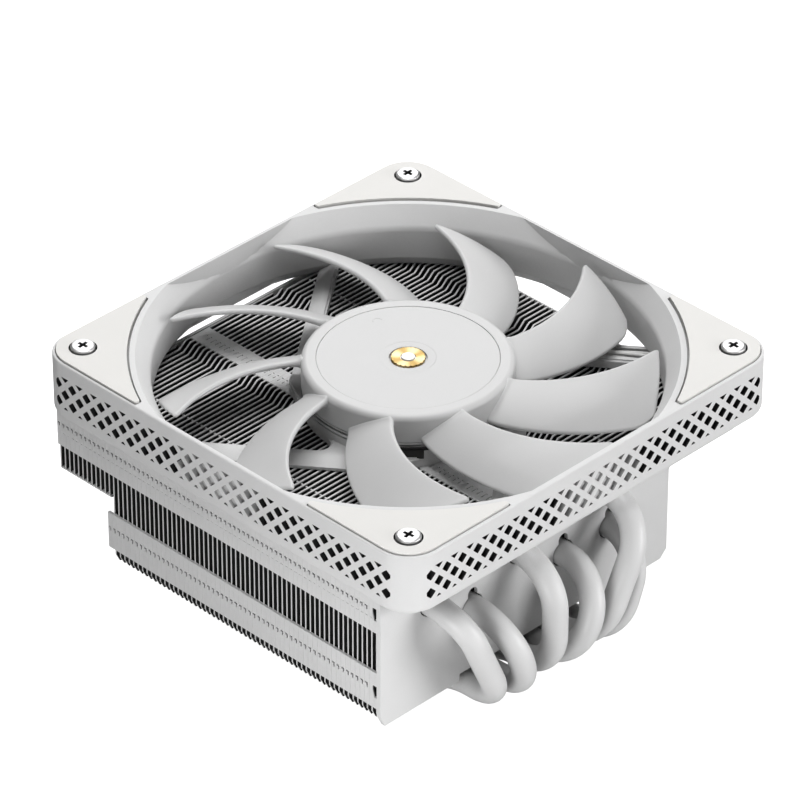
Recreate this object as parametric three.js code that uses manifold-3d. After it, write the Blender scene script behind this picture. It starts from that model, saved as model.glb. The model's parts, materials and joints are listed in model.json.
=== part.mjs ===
// Low-profile CPU cooler: a slim 120 mm fan on a finned heatsink with six bent heat pipes,
// a clamped base and a sprung crossbar.
// Units are millimetres, +Z is up. The origin is the centre of the cold plate's contact face.

import * as THREE from 'three';
import { mergeVertices } from 'three/addons/utils/BufferGeometryUtils.js';
import Module from 'manifold-3d';

const wasm = await Module();
wasm.setup();

// ---- driving dimensions ------------------------------------------------------------------

const GAP = 0.3;                    // clearance between neighbouring pieces
const SKIN = 1;                     // how far a cutter overshoots the face it leaves

// whole cooler
const TOTAL_HEIGHT = 67;            // contact face to the top of the corner pads
const FAN_CENTRE_Y = 11.7;          // the fan sits off centre, over the overhanging fins

// fan frame, in the fan's own frame: its axis is Z, and Z = 0 is the top of the corner pads
const FRAME_HALF = 60;
const FRAME_CORNER_R = 8.5;
const FRAME_TOP = -0.5;
const FRAME_BOTTOM = -16;
const WALL = 1.2;
const SCREW_SPACING = 105;
const DUCT_R = 58.8;
const BELL_R = 62.3;
const BELL_BOTTOM = -5.3;
const BELL_FLAT = 58.85;              // the bell is cut off by the four straight walls here
const POCKET_TOP = -4;
const POCKET_BOTTOM = -13.4;
const BOSS_R = 6.5;
const SCREW_HOLE_R = 2.15;
const VENT_Z = -8.6;
const VENT_HALF_DIAGONAL = 3.2;
const VENT_FIRST = 24;
const VENT_PITCH = 14;
const VENTS_PER_HALF_SIDE = 2;
const DUCT_WALL = 1.4;
const DUCT_SEGMENTS = 36;

// corner pads
const PAD_THICKNESS = 1.5;
const PAD_EDGE = 59.15;
const PAD_TIP = 27.7;
const PAD_ARC_R = 64.2;
const PAD_CORNER_R = 7.7;
const PAD_HOLE_R = 3.3;
const PAD_SEAT_GAP = 0.25;          // between a pad and the straight sides of its recess
const PAD_GROOVE = 0.55;            // open groove along the hollow side

// motor, same frame as the fan
const CUP_R = 24.4;
const CUP_WALL = 1.5;
const CUP_FLOOR_TOP = -14.6;
const CUP_RIM = -11.4;
const TUBE_R = 5.4;
const TUBE_BORE_R = 4.2;
const TUBE_TOP = -8.2;
const STRUT_ANGLE = 217.6;          // direction in which the first strut leaves the motor
const STRUT_OUTER = 28.2;           // distance of a strut's outer side from the fan's axis
const STRUT_INNER = 23.6;
const STRUT_RIDGE = 25.4;           // flat ridge from the inner side to here, then a slope
const STRUT_SLOPE_START = 6;
const STRUT_OUTER_TOP = -15;
const STRUT_TOP = -13.6;
const STRUT_FILLET = 3;
const CABLE_STRUT = 2;              // the wide strut that carries the cable
const CABLE_STRUT_INNER = 21.2;
const SHAFT_R = 1.5;
const SHAFT_CHAMFER = 0.3;
const SHAFT_TOP = -5.2;
const SHAFT_BOTTOM = -14.1;
const SLEEVE_R = 3.9;
const SLEEVE_TOP = -8;
const SLEEVE_BOTTOM = -13;
const STATOR_TOP = -8;
const STATOR_BOTTOM = -11;
const STATOR_R = 19.4;
const STATOR_RING = 1.6;            // thickness of the core round the bearing tube
const ARM_HALF_WIDTH = 2.3;
const SHOE_THICKNESS = 2;
const SHOE_HALF_ANGLE = 36;
const POLE_COUNT = 4;
const COIL_INNER = 7.6;
const COIL_OUTER = 16.1;
const COIL_HALF_WIDTH = 5.2;
const COIL_TOP = -6.4;
const COIL_BOTTOM = -12.6;
const BOARD_R = 17.5;
const BOARD_TOP = -13.2;
const BOARD_BOTTOM = -14.2;
const MOTOR_SEGMENTS = 24;

// rotor
const HUB_R = 24.6;
const HUB_WALL = 1.6;
const HUB_TOP = -2.7;
const HUB_SHOULDER = -4.4;
const HUB_BOTTOM = -10.2;
const HUB_PLATE_BOTTOM = -4.7;
const HUB_SEGMENTS = 36;
const CAP_R = 21.1;
const CAP_FLOOR = -3.4;
const BADGE_R = 4;
const BADGE_CENTRE_R = 1.5;
const YOKE_WALL = 0.8;
const YOKE_PLATE_BOTTOM = -5.9;
const YOKE_BOSS_R = 3.4;
const YOKE_BOSS_BOTTOM = -7.6;
const YOKE_BOTTOM = -9.8;
const MAGNET_INNER_R = 19.9;
const MAGNET_OUTER_R = 21.6;
const MAGNET_TOP = -6.2;
const CLIP_R = 2.9;
const CLIP_TOP = -13.4;
const CLIP_BOTTOM = -13.9;
const BLADE_COUNT = 9;
const BLADE_THICKNESS = 1.2;
const BLADE_ROOT_R = 23.8;
const BLADE_TIP_R = 57.5;
const LEAD_ROOT_ANGLE = 67.2;
const LEAD_TIP_ANGLE = 89.5;
const LEAD_SWEEP_POWER = 1.4;
const TRAIL_ROOT_ANGLE = 42;
const TRAIL_TIP_ANGLE = 70.3;
const LEAD_ROOT_Z = -3.9;
const LEAD_TIP_Z = -3.1;
const TRAIL_ROOT_Z = -9.6;
const TRAIL_TIP_Z = -11.7;
const BLADE_CAMBER = 0.8;

// fin stack, in the cooler's frame
const FIN_THICKNESS = 0.6;
const FIN_PITCH = 9;
const FIN_COUNT = 12;
const FIRST_FIN_INSET = 0.8;
const STACK_LEFT = -56.4;
const STACK_RIGHT = 48.6;
const STACK_FRONT = -46.3;
const STACK_BACK = 46.3;
const WING_BACK = 65;
const STACK_TOP = TOTAL_HEIGHT + FRAME_BOTTOM - GAP;
const STACK_BOTTOM = 16.5;
const STEP_X = -38.9;               // left of this the fins end higher up
const STEP_BOTTOM = 34.3;
const STEP_BAND_OVERHANG = 1.1;     // the lower band runs this far past the step
const WING_BOTTOM = 41.3;
const FIN_CORNER_Y = 1.3;
const FIN_CORNER_Z = 2.7;
const JOG_STARTS = [-9.3, 22.7, 52.7];
const JOG_LENGTH = 4;
const JOG_SHIFT = 1.9;
const BAND_THICKNESS = 0.6;
const LOWER_BAND_BOTTOM = 20.5;
const LOWER_BAND_TOP = 30.3;
const SLOT_LENGTH = 1.2;            // windows in the front bands, at the right end
const SLOTS = [[24, 27.2], [46, 48.5]];
const TOP_BAND_FRONT = -3.9;
const TOP_BAND_BACK = 2;
const NOTCH_HALF = 22.1;
const NOTCH_RISE = 1.9;
const TAB_HALF = 4.5;
const TAB_THICKNESS = 1;
const TAB_HOLE_R = 1.95;
const TAB_HOLE_DEPTH = 3;

// end plates
const PLATE_THICKNESS = 1;
const PLATE_GAP = 0.4;
const PLATE_RIGHT_X = STACK_RIGHT + PLATE_GAP;
const PLATE_LEFT_X = STACK_LEFT - PLATE_GAP - PLATE_THICKNESS;
const PLATE_ARM_BACK = 68.7;
const PLATE_CORNER = 2;
const FLANGE_LENGTH = 0.3;          // how far the right plate's folded edge covers the fins
const FLANGE_THICKNESS = 0.4;
const KEYHOLE_HALF = 1.5;
const KEYHOLE_TOP = 40.3;

// heat pipes
const PIPE_R = 3;
const PIPE_HOLE_R = 3.45;
const FIN_HOLE_R = 3.7;             // six-sided, so its flats still clear the pipe
const UPPER_ROW_Z = 43;
const LOWER_ROW_Z = 35;
const LEG_Z = 6.15;
const LEG_PITCH = 7;
const PIPE_TIP_UPPER = -55.8;
const PIPE_TIP_LOWER = -40;
const PIPE_SIDES = 8;
const HOLE_SIDES = 6;
const BEND_START_X = 50.5;
const BEND_STEPS = 5;
const DIP_STEPS = 4;
const LEG_INSET = 1;                // the legs stop short of the far side of the base
// each pipe leaves the stack at (y, z), bends out as far as reach, and comes round at (endY, low)
const PIPES = [
  { y: -31.3, z: UPPER_ROW_Z, reach: 60.2, endY: -18.3, low: 13.8 },
  { y: -18.0, z: LOWER_ROW_Z, reach: 61.9, endY: -10.7, low: 12.9 },
  { y: -3.3, z: UPPER_ROW_Z, reach: 61.5, endY: -3.2, low: 14.5 },
  { y: 11.2, z: LOWER_ROW_Z, reach: 62.4, endY: 3.5, low: 13.8 },
  { y: 25.5, z: UPPER_ROW_Z + 2, reach: 62.2, endY: 10.4, low: 14.8 },
  { y: 26.5, z: LOWER_ROW_Z, reach: 60.5, endY: 17.9, low: 12.7 },
];

// base
const BASE_HALF_X = 24;
const BASE_HALF_Y = 27;
const BASE_CORNER_R = 2;
const BASE_HOLE_BOTTOM = 2.4;
const COUNTERBORE_R = 2.9;
const COUNTERBORE_DEPTH = 1.6;
const PLATE_TOP = 6;
const COVER_TOP = 11.2;
const BASE_SCREW_X = 18;
const BASE_SCREW_Y = 23.8;
const BASE_SCREW_R = 1.3;

// crossbar and its sprung screws
const BAR_HALF_WIDTH = 7;
const BAR_THICKNESS = 1.8;
const BAR_BOTTOM = COVER_TOP + GAP;
const BAR_BEND_Y = 27.5;
const EAR_BOTTOM = 10.8;
const EAR_Y = 33.9;
const EAR_R = 4.2;
const SPRING_SCREW_R = 1.9;
const SPRING_SCREW_TIP = 7.2;
const SPRING_TOP = 16.9;
const SPRING_R = 3;
const SPRING_WIRE_R = 0.3;
const SPRING_TURNS = 3;
const SPRING_HEAD_R = 3.9;
const SPRING_HEAD_TOP = 19.4;
const CLIP_GROOVE = 0.5;            // how deep the clip's groove is cut into the shank
const EAR_CLIP_R = 3.2;
const EAR_CLIP_THICKNESS = 0.6;
const EAR_TONGUE = 0.5;             // flat part of the ear beyond its hole's centre line
const HEAD_POCKET_HALF = 5.5;
const HEAD_POCKET_TOP = 21.4;

// cable
const CABLE_R = 1.1;
const CABLE_Z = -14.3;
const CABLE_ROOM = 0.4;             // clearance round the cable where it runs in the frame
const CABLE_IN_FRAME = 7;           // the points of its path that lie inside the frame
const PLUG_TILT = 40;

// ---- materials ---------------------------------------------------------------------------

function finish(color, roughness, metalness) {
  return new THREE.MeshStandardMaterial({ color, roughness, metalness });
}

const framePaint = () => finish('#e9e9e9', 0.55, 0);
const padRubber = () => finish('#e6e5e1', 0.8, 0);
const bladePlastic = () => finish('#ececec', 0.35, 0);
const finPaint = () => finish('#e4e4e4', 0.5, 0.1);
const pipePaint = () => finish('#efefef', 0.4, 0.1);
const brass = () => finish('#cfae62', 0.3, 1);
const steel = () => finish('#c4c6c9', 0.3, 1);
const nickel = () => finish('#c9c7c2', 0.2, 1);
const ferrite = () => finish('#2b2b2d', 0.7, 0.1);
const copperWire = () => finish('#b4653a', 0.4, 0.9);
const sinteredBronze = () => finish('#8a6d3c', 0.6, 0.8);
const circuitBoard = () => finish('#1d5a35', 0.6, 0);
const cableSleeve = () => finish('#dcdcdc', 0.7, 0);

// ---- geometry helpers --------------------------------------------------------------------

function toSolid(geometry) {
  const bare = geometry.index ? geometry.toNonIndexed() : geometry.clone();
  bare.deleteAttribute('normal');
  bare.deleteAttribute('uv');
  const merged = mergeVertices(bare, 1e-4);
  return new wasm.Manifold(new wasm.Mesh({
    numProp: 3,
    vertProperties: new Float32Array(merged.attributes.position.array),
    triVerts: new Uint32Array(merged.index.array),
  }));
}

function toGeometry(solid) {
  const data = solid.getMesh();
  const geometry = new THREE.BufferGeometry();
  geometry.setAttribute('position', new THREE.BufferAttribute(data.vertProperties, 3));
  geometry.setIndex(new THREE.BufferAttribute(data.triVerts, 1));
  geometry.computeVertexNormals();
  return geometry;
}

function piece(name, solid, material) {
  const mesh = new THREE.Mesh(toGeometry(solid), material);
  mesh.name = name;
  return mesh;
}

function box(x0, x1, y0, y1, z0, z1) {
  const geometry = new THREE.BoxGeometry(x1 - x0, y1 - y0, z1 - z0);
  geometry.translate((x0 + x1) / 2, (y0 + y1) / 2, (z0 + z1) / 2);
  return toSolid(geometry);
}

// upright cylinder
function post(x, y, z0, z1, radius, sides = 20) {
  const geometry = new THREE.CylinderGeometry(radius, radius, z1 - z0, sides);
  geometry.rotateX(Math.PI / 2);
  geometry.translate(x, y, (z0 + z1) / 2);
  return toSolid(geometry);
}

// cylinder lying along X
function rod(x0, x1, y, z, radius, sides) {
  const geometry = new THREE.CylinderGeometry(radius, radius, x1 - x0, sides);
  geometry.rotateZ(Math.PI / 2);
  geometry.translate((x0 + x1) / 2, y, z);
  return toSolid(geometry);
}

// flat outline in XY, raised from z0 to z1
function slab(shape, z0, z1, curveSegments = 8) {
  const geometry = new THREE.ExtrudeGeometry(shape, { depth: z1 - z0, bevelEnabled: false, curveSegments });
  geometry.translate(0, 0, z0);
  return toSolid(geometry);
}

// outline drawn as (y, z), thickened along X
function slabAlongX(shape, x0, x1) {
  const geometry = new THREE.ExtrudeGeometry(shape, { depth: x1 - x0, bevelEnabled: false });
  const turn = new THREE.Matrix4().makeBasis(
    new THREE.Vector3(0, 1, 0),
    new THREE.Vector3(0, 0, 1),
    new THREE.Vector3(1, 0, 0),
  );
  geometry.applyMatrix4(turn);
  geometry.translate(x0, 0, 0);
  return toSolid(geometry);
}

// outline drawn as (radius, z), anticlockwise, turned round Z
function turned(profile, segments = MOTOR_SEGMENTS) {
  const points = profile.map(([r, z]) => new THREE.Vector2(r, z));
  const geometry = new THREE.LatheGeometry(points, segments);
  geometry.rotateX(Math.PI / 2);
  return toSolid(geometry);
}

// washer or tube with its axis on Z
function ring(innerR, outerR, z0, z1, segments = MOTOR_SEGMENTS) {
  return turned([[innerR, z0], [outerR, z0], [outerR, z1], [innerR, z1], [innerR, z0]], segments);
}

function outline(points) {
  const shape = new THREE.Shape();
  points.forEach(([x, y], i) => (i ? shape.lineTo(x, y) : shape.moveTo(x, y)));
  shape.closePath();
  return shape;
}

function roundedRectangle(halfX, halfY, radius) {
  const shape = new THREE.Shape();
  const x = halfX - radius;
  const y = halfY - radius;
  shape.moveTo(halfX, -y);
  shape.absarc(x, y, radius, 0, Math.PI / 2);
  shape.absarc(-x, y, radius, Math.PI / 2, Math.PI);
  shape.absarc(-x, -y, radius, Math.PI, Math.PI * 1.5);
  shape.absarc(x, -y, radius, Math.PI * 1.5, Math.PI * 2);
  return shape;
}

// path through given points, sampled at exactly those points
class PointPath extends THREE.Curve {
  constructor(points) {
    super();
    this.points = points;
  }

  getPoint(t, target = new THREE.Vector3()) {
    const place = t * (this.points.length - 1);
    const i = Math.min(Math.floor(place), this.points.length - 2);
    return target.lerpVectors(this.points[i], this.points[i + 1], place - i);
  }

  getTangent(t, target = new THREE.Vector3()) {
    const i = Math.round(t * (this.points.length - 1));
    const before = this.points[Math.max(i - 1, 0)];
    const after = this.points[Math.min(i + 1, this.points.length - 1)];
    return target.subVectors(after, before).normalize();
  }

  getUtoTmapping(u) {
    return u;
  }
}

function tube(points, radius, sides) {
  const section = new THREE.Shape();
  section.absarc(0, 0, radius, 0, Math.PI * 2);
  return toSolid(new THREE.ExtrudeGeometry(section, {
    extrudePath: new PointPath(points),
    steps: points.length - 1,
    bevelEnabled: false,
    curveSegments: sides / 2,
  }));
}

// copies of one piece at even angles round Z
function roundAxis(count, solid) {
  return Array.from({ length: count }, (_, k) => solid.rotate([0, 0, k * 360 / count]));
}

function joinAll(solids) {
  return solids.reduce((whole, part) => whole.add(part));
}

// ---- fan frame ---------------------------------------------------------------------------

const screwReach = SCREW_SPACING / 2;
const corners = [[1, 1], [-1, 1], [-1, -1], [1, -1]];

// triangular inlay with a hollow long side, in the +X +Y corner
function padOutline(grow, groove) {
  const edge = PAD_EDGE + grow;
  const tip = PAD_TIP - grow;
  const arcR = PAD_ARC_R - groove;
  const arcEnd = Math.asin(tip / arcR);
  const shape = new THREE.Shape();
  shape.moveTo(edge, tip);
  shape.lineTo(edge, edge - PAD_CORNER_R);
  shape.absarc(edge - PAD_CORNER_R, edge - PAD_CORNER_R, PAD_CORNER_R, 0, Math.PI / 2);
  shape.lineTo(tip, edge);
  shape.absarc(0, 0, arcR, Math.PI / 2 - arcEnd, arcEnd, true);
  shape.closePath();
  return shape;
}

// points along the cable, from inside the motor cup to the plug, in the fan's frame
const cablePoints = [
  [-12.8, 16.7, CABLE_Z], [-9, 21, CABLE_Z], [-5.1, 25.2, CABLE_Z], [0.5, 30.9, CABLE_Z],
  [27.2, 52.2, CABLE_Z], [37.3, 60, CABLE_Z], [39.8, 61.6, -15.4], [40.4, 62, -18.2],
  [38, 61.5, -21.5], [31, 59.5, -25.5], [20, 56, -30.5], [8, 50.5, -37], [-1, 46.6, -43],
  [-8, 45, -48],
].map(([x, y, z]) => new THREE.Vector3(x, y, z));

// runs off the motor cup's side, with a fillet in the inner corner
function strut(index) {
  const carriesCable = index === CABLE_STRUT;
  const inner = carriesCable ? CABLE_STRUT_INNER : STRUT_INNER;
  const reach = Math.sqrt(DUCT_R ** 2 - inner ** 2) + SKIN / 2;
  const filletY = inner - STRUT_FILLET;
  const filletX = Math.sqrt((CUP_R + STRUT_FILLET) ** 2 - filletY ** 2);
  const plan = new THREE.Shape();
  plan.moveTo(-13, 18);
  plan.lineTo(12, 12);
  const meet = Math.PI + Math.atan2(filletY, filletX);
  plan.absarc(filletX, filletY, STRUT_FILLET, meet, Math.PI / 2, true);
  plan.lineTo(reach, inner);
  plan.lineTo(reach, STRUT_OUTER);
  plan.lineTo(2.5, STRUT_OUTER);
  plan.lineTo(-3, 26.5);
  plan.lineTo(-9.5, 22.2);
  plan.closePath();
  let bar = slab(plan, FRAME_BOTTOM, STRUT_TOP, 3);
  if (!carriesCable) {
    const above = outline([
      [STRUT_RIDGE, STRUT_TOP], [STRUT_OUTER, STRUT_OUTER_TOP], [STRUT_OUTER + SKIN, STRUT_OUTER_TOP],
      [STRUT_OUTER + SKIN, STRUT_TOP + SKIN], [STRUT_RIDGE, STRUT_TOP + SKIN],
    ]);
    bar = bar.subtract(slabAlongX(above, STRUT_SLOPE_START, reach + SKIN));
  }
  return bar.rotate([0, 0, STRUT_ANGLE + 90 * index]);
}

function fanFrame() {
  const body = slab(roundedRectangle(FRAME_HALF, FRAME_HALF, FRAME_CORNER_R), FRAME_BOTTOM, FRAME_TOP, 4);
  const bell = turned([
    [0, FRAME_BOTTOM - SKIN], [DUCT_R, FRAME_BOTTOM - SKIN], [DUCT_R, BELL_BOTTOM],
    [BELL_R, FRAME_TOP], [BELL_R, FRAME_TOP + SKIN], [0, FRAME_TOP + SKIN],
  ], DUCT_SEGMENTS);
  const bellLimit = box(-BELL_FLAT, BELL_FLAT, -BELL_FLAT, BELL_FLAT, FRAME_BOTTOM - 2 * SKIN, 2 * SKIN);
  let frame = body.subtract(bell.intersect(bellLimit));

  const inside = FRAME_HALF - WALL;
  const ductOuter = post(0, 0, POCKET_BOTTOM - SKIN, POCKET_TOP + SKIN, DUCT_R + DUCT_WALL, DUCT_SEGMENTS);
  let pocket = slab(roundedRectangle(inside, inside, FRAME_CORNER_R - WALL), POCKET_BOTTOM, POCKET_TOP, 3)
    .subtract(ductOuter);
  for (const [sx, sy] of corners) {
    pocket = pocket.subtract(post(sx * screwReach, sy * screwReach, FRAME_BOTTOM, 0, BOSS_R, 12));
  }
  frame = frame.subtract(pocket);

  const vent = new THREE.CylinderGeometry(VENT_HALF_DIAGONAL, VENT_HALF_DIAGONAL, 4 * WALL, 4);
  for (const turn of [0, 90, 180, 270]) {
    for (let k = 0; k < VENTS_PER_HALF_SIDE; k += 1) {
      for (const side of [-1, 1]) {
        const hole = toSolid(vent).translate([side * (VENT_FIRST + k * VENT_PITCH), -FRAME_HALF, VENT_Z]);
        frame = frame.subtract(hole.rotate([0, 0, turn]));
      }
    }
  }

  const cup = turned([
    [0, FRAME_BOTTOM], [CUP_R, FRAME_BOTTOM], [CUP_R, CUP_RIM], [CUP_R - CUP_WALL, CUP_RIM],
    [CUP_R - CUP_WALL, CUP_FLOOR_TOP], [TUBE_R, CUP_FLOOR_TOP], [TUBE_R, TUBE_TOP],
    [TUBE_BORE_R, TUBE_TOP], [TUBE_BORE_R, CUP_FLOOR_TOP], [0, CUP_FLOOR_TOP],
  ]);
  const struts = joinAll([0, 1, 2, 3].map(strut));
  const cupRoom = post(0, 0, CUP_FLOOR_TOP, STRUT_TOP + SKIN, CUP_R - CUP_WALL, MOTOR_SEGMENTS);
  frame = frame.add(struts.subtract(cupRoom)).add(cup);
  frame = frame.subtract(tube(cablePoints.slice(0, CABLE_IN_FRAME), CABLE_R + CABLE_ROOM, 8));

  const recess = slab(padOutline(PAD_SEAT_GAP, PAD_GROOVE), -PAD_THICKNESS - GAP, SKIN, 4);
  const hole = post(screwReach, screwReach, FRAME_BOTTOM - SKIN, 0, SCREW_HOLE_R, 10);
  return frame.subtract(joinAll(roundAxis(corners.length, recess.add(hole))));
}

function cornerPad() {
  return slab(padOutline(0, 0), -PAD_THICKNESS, 0, 5)
    .subtract(post(screwReach, screwReach, -PAD_THICKNESS - SKIN, SKIN, PAD_HOLE_R, 14));
}

// pan head with a cross recess: its rim, shoulder and crown are fractions of its size
function crossHead(headR, headHeight) {
  const head = turned([
    [0, 0], [headR, 0], [headR, headHeight * 0.55], [headR * 0.75, headHeight * 0.92],
    [headR * 0.4, headHeight], [0, headHeight],
  ], 12);
  const long = headR * 0.55;
  const thin = headR * 0.16;
  const floor = headHeight * 0.45;
  return head
    .subtract(box(-long, long, -thin, thin, floor, headHeight + SKIN))
    .subtract(box(-thin, thin, -long, long, floor, headHeight + SKIN));
}

function screw(headR, headHeight, shankR, length) {
  return crossHead(headR, headHeight).add(post(0, 0, -length, headHeight * 0.3, shankR, 8));
}

// ---- motor and rotor ---------------------------------------------------------------------

function statorCore() {
  const armEnd = STATOR_R - SHOE_THICKNESS / 2;
  const arm = box(0, armEnd, -ARM_HALF_WIDTH, ARM_HALF_WIDTH, STATOR_BOTTOM, STATOR_TOP);
  const shoe = new THREE.Shape();
  const half = THREE.MathUtils.degToRad(SHOE_HALF_ANGLE);
  shoe.absarc(0, 0, STATOR_R, -half, half);
  shoe.absarc(0, 0, STATOR_R - SHOE_THICKNESS, half, -half, true);
  shoe.closePath();
  const pole = arm.add(slab(shoe, STATOR_BOTTOM, STATOR_TOP, 5));
  return joinAll(roundAxis(POLE_COUNT, pole))
    .add(post(0, 0, STATOR_BOTTOM, STATOR_TOP, TUBE_R + STATOR_RING, 16))
    .subtract(post(0, 0, STATOR_BOTTOM - SKIN, STATOR_TOP + SKIN, TUBE_R + GAP, 16));
}

function coil() {
  const winding = box(COIL_INNER, COIL_OUTER, -COIL_HALF_WIDTH, COIL_HALF_WIDTH, COIL_BOTTOM, COIL_TOP);
  const half = ARM_HALF_WIDTH + GAP;
  return winding.subtract(box(0, STATOR_R, -half, half, STATOR_BOTTOM - GAP, STATOR_TOP + GAP));
}

// a blade is a flat plate bent to its place: u runs root to tip, v leading to trailing edge
function bladePoint(u, v, lift) {
  const mix = THREE.MathUtils.lerp;
  const radius = mix(BLADE_ROOT_R, BLADE_TIP_R, u);
  const lead = mix(LEAD_ROOT_ANGLE, LEAD_TIP_ANGLE, u ** LEAD_SWEEP_POWER);
  const trail = mix(TRAIL_ROOT_ANGLE, TRAIL_TIP_ANGLE, u);
  const angle = THREE.MathUtils.degToRad(mix(lead, trail, v));
  const height = mix(mix(LEAD_ROOT_Z, LEAD_TIP_Z, u), mix(TRAIL_ROOT_Z, TRAIL_TIP_Z, u), v);
  const camber = BLADE_CAMBER * 4 * v * (1 - v);
  return [radius * Math.cos(angle), radius * Math.sin(angle), height + camber + lift];
}

function blade() {
  const plate = new THREE.BoxGeometry(1, 1, 1, 5, 2, 1);
  const at = plate.attributes.position;
  for (let i = 0; i < at.count; i += 1) {
    const lift = at.getZ(i) * BLADE_THICKNESS;
    at.setXYZ(i, ...bladePoint(0.5 + at.getX(i), 0.5 - at.getY(i), lift));
  }
  return toSolid(plate);
}

function impeller() {
  const hub = turned([
    [0, HUB_PLATE_BOTTOM], [HUB_R - HUB_WALL, HUB_PLATE_BOTTOM], [HUB_R - HUB_WALL, HUB_BOTTOM],
    [HUB_R, HUB_BOTTOM], [HUB_R, HUB_SHOULDER], [HUB_R - 0.4, HUB_SHOULDER + 0.9],
    [HUB_R - 1.6, HUB_TOP], [CAP_R + GAP, HUB_TOP], [CAP_R + GAP, CAP_FLOOR], [0, CAP_FLOOR],
  ], HUB_SEGMENTS);
  return joinAll([hub, ...roundAxis(BLADE_COUNT, blade())]);
}

function rotorYoke() {
  const outer = HUB_R - HUB_WALL - GAP;
  const top = HUB_PLATE_BOTTOM - GAP;
  return turned([
    [SHAFT_R + GAP, top], [SHAFT_R + GAP, YOKE_BOSS_BOTTOM], [YOKE_BOSS_R, YOKE_BOSS_BOTTOM],
    [YOKE_BOSS_R, YOKE_PLATE_BOTTOM], [outer - YOKE_WALL, YOKE_PLATE_BOTTOM],
    [outer - YOKE_WALL, YOKE_BOTTOM], [outer, YOKE_BOTTOM], [outer, top], [SHAFT_R + GAP, top],
  ]);
}

// four-pole connector housing, hanging below the end of its cable
function plugBody() {
  const [halfWidth, halfDepth, bottom, top] = [5.1, 2.9, -13, -1.8];
  const [keyTop, socketTop, socketHalf, polePitch] = [-4, -7, 0.45, 2.54];
  const shell = box(-halfWidth, halfWidth, -halfDepth, halfDepth, bottom, top);
  const keys = [-3.6, 1.2].map((x) => box(x, x + 1, -halfDepth - 0.8, 0.2 - halfDepth, bottom, keyTop));
  const sockets = [-1.5, -0.5, 0.5, 1.5].map((place) => {
    const x = place * polePitch;
    return box(x - socketHalf, x + socketHalf, -socketHalf, socketHalf, bottom - SKIN, socketTop);
  });
  return joinAll([shell, ...keys]).subtract(joinAll(sockets));
}

// ---- heatsink ----------------------------------------------------------------------------

function isUpper(z) {
  return z >= UPPER_ROW_Z;
}

// plan of one fin: straight runs joined by short slanting jogs
function finPlan(x) {
  const half = FIN_THICKNESS / 2;
  const line = [[x, STACK_FRONT - SKIN]];
  JOG_STARTS.forEach((start, k) => {
    line.push([x - k * JOG_SHIFT, start]);
    line.push([x - (k + 1) * JOG_SHIFT, start + JOG_LENGTH]);
  });
  line.push([x - JOG_STARTS.length * JOG_SHIFT, WING_BACK + SKIN]);
  const right = line.map(([px, py]) => [px + half, py]);
  const left = line.map(([px, py]) => [px - half, py]).reverse();
  return outline([...right, ...left]);
}

function tabCutter(y) {
  const x = -screwReach;
  return box(STACK_LEFT - SKIN, x + TAB_HALF + GAP, y - TAB_HALF - GAP, y + TAB_HALF + GAP,
    STACK_TOP - TAB_THICKNESS - GAP, STACK_TOP + SKIN)
    .add(post(x, y, STACK_TOP - TAB_HOLE_DEPTH - SKIN, STACK_TOP, TAB_HOLE_R + GAP / 2, 12));
}

// shallow cut in the bottom edge, over the pipe legs
const legNotch = [
  [-NOTCH_HALF, STACK_BOTTOM], [-NOTCH_HALF, STACK_BOTTOM + NOTCH_RISE],
  [NOTCH_HALF, STACK_BOTTOM + NOTCH_RISE], [NOTCH_HALF, STACK_BOTTOM],
];

const tabYs = [FAN_CENTRE_Y - screwReach, FAN_CENTRE_Y + screwReach];

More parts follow.
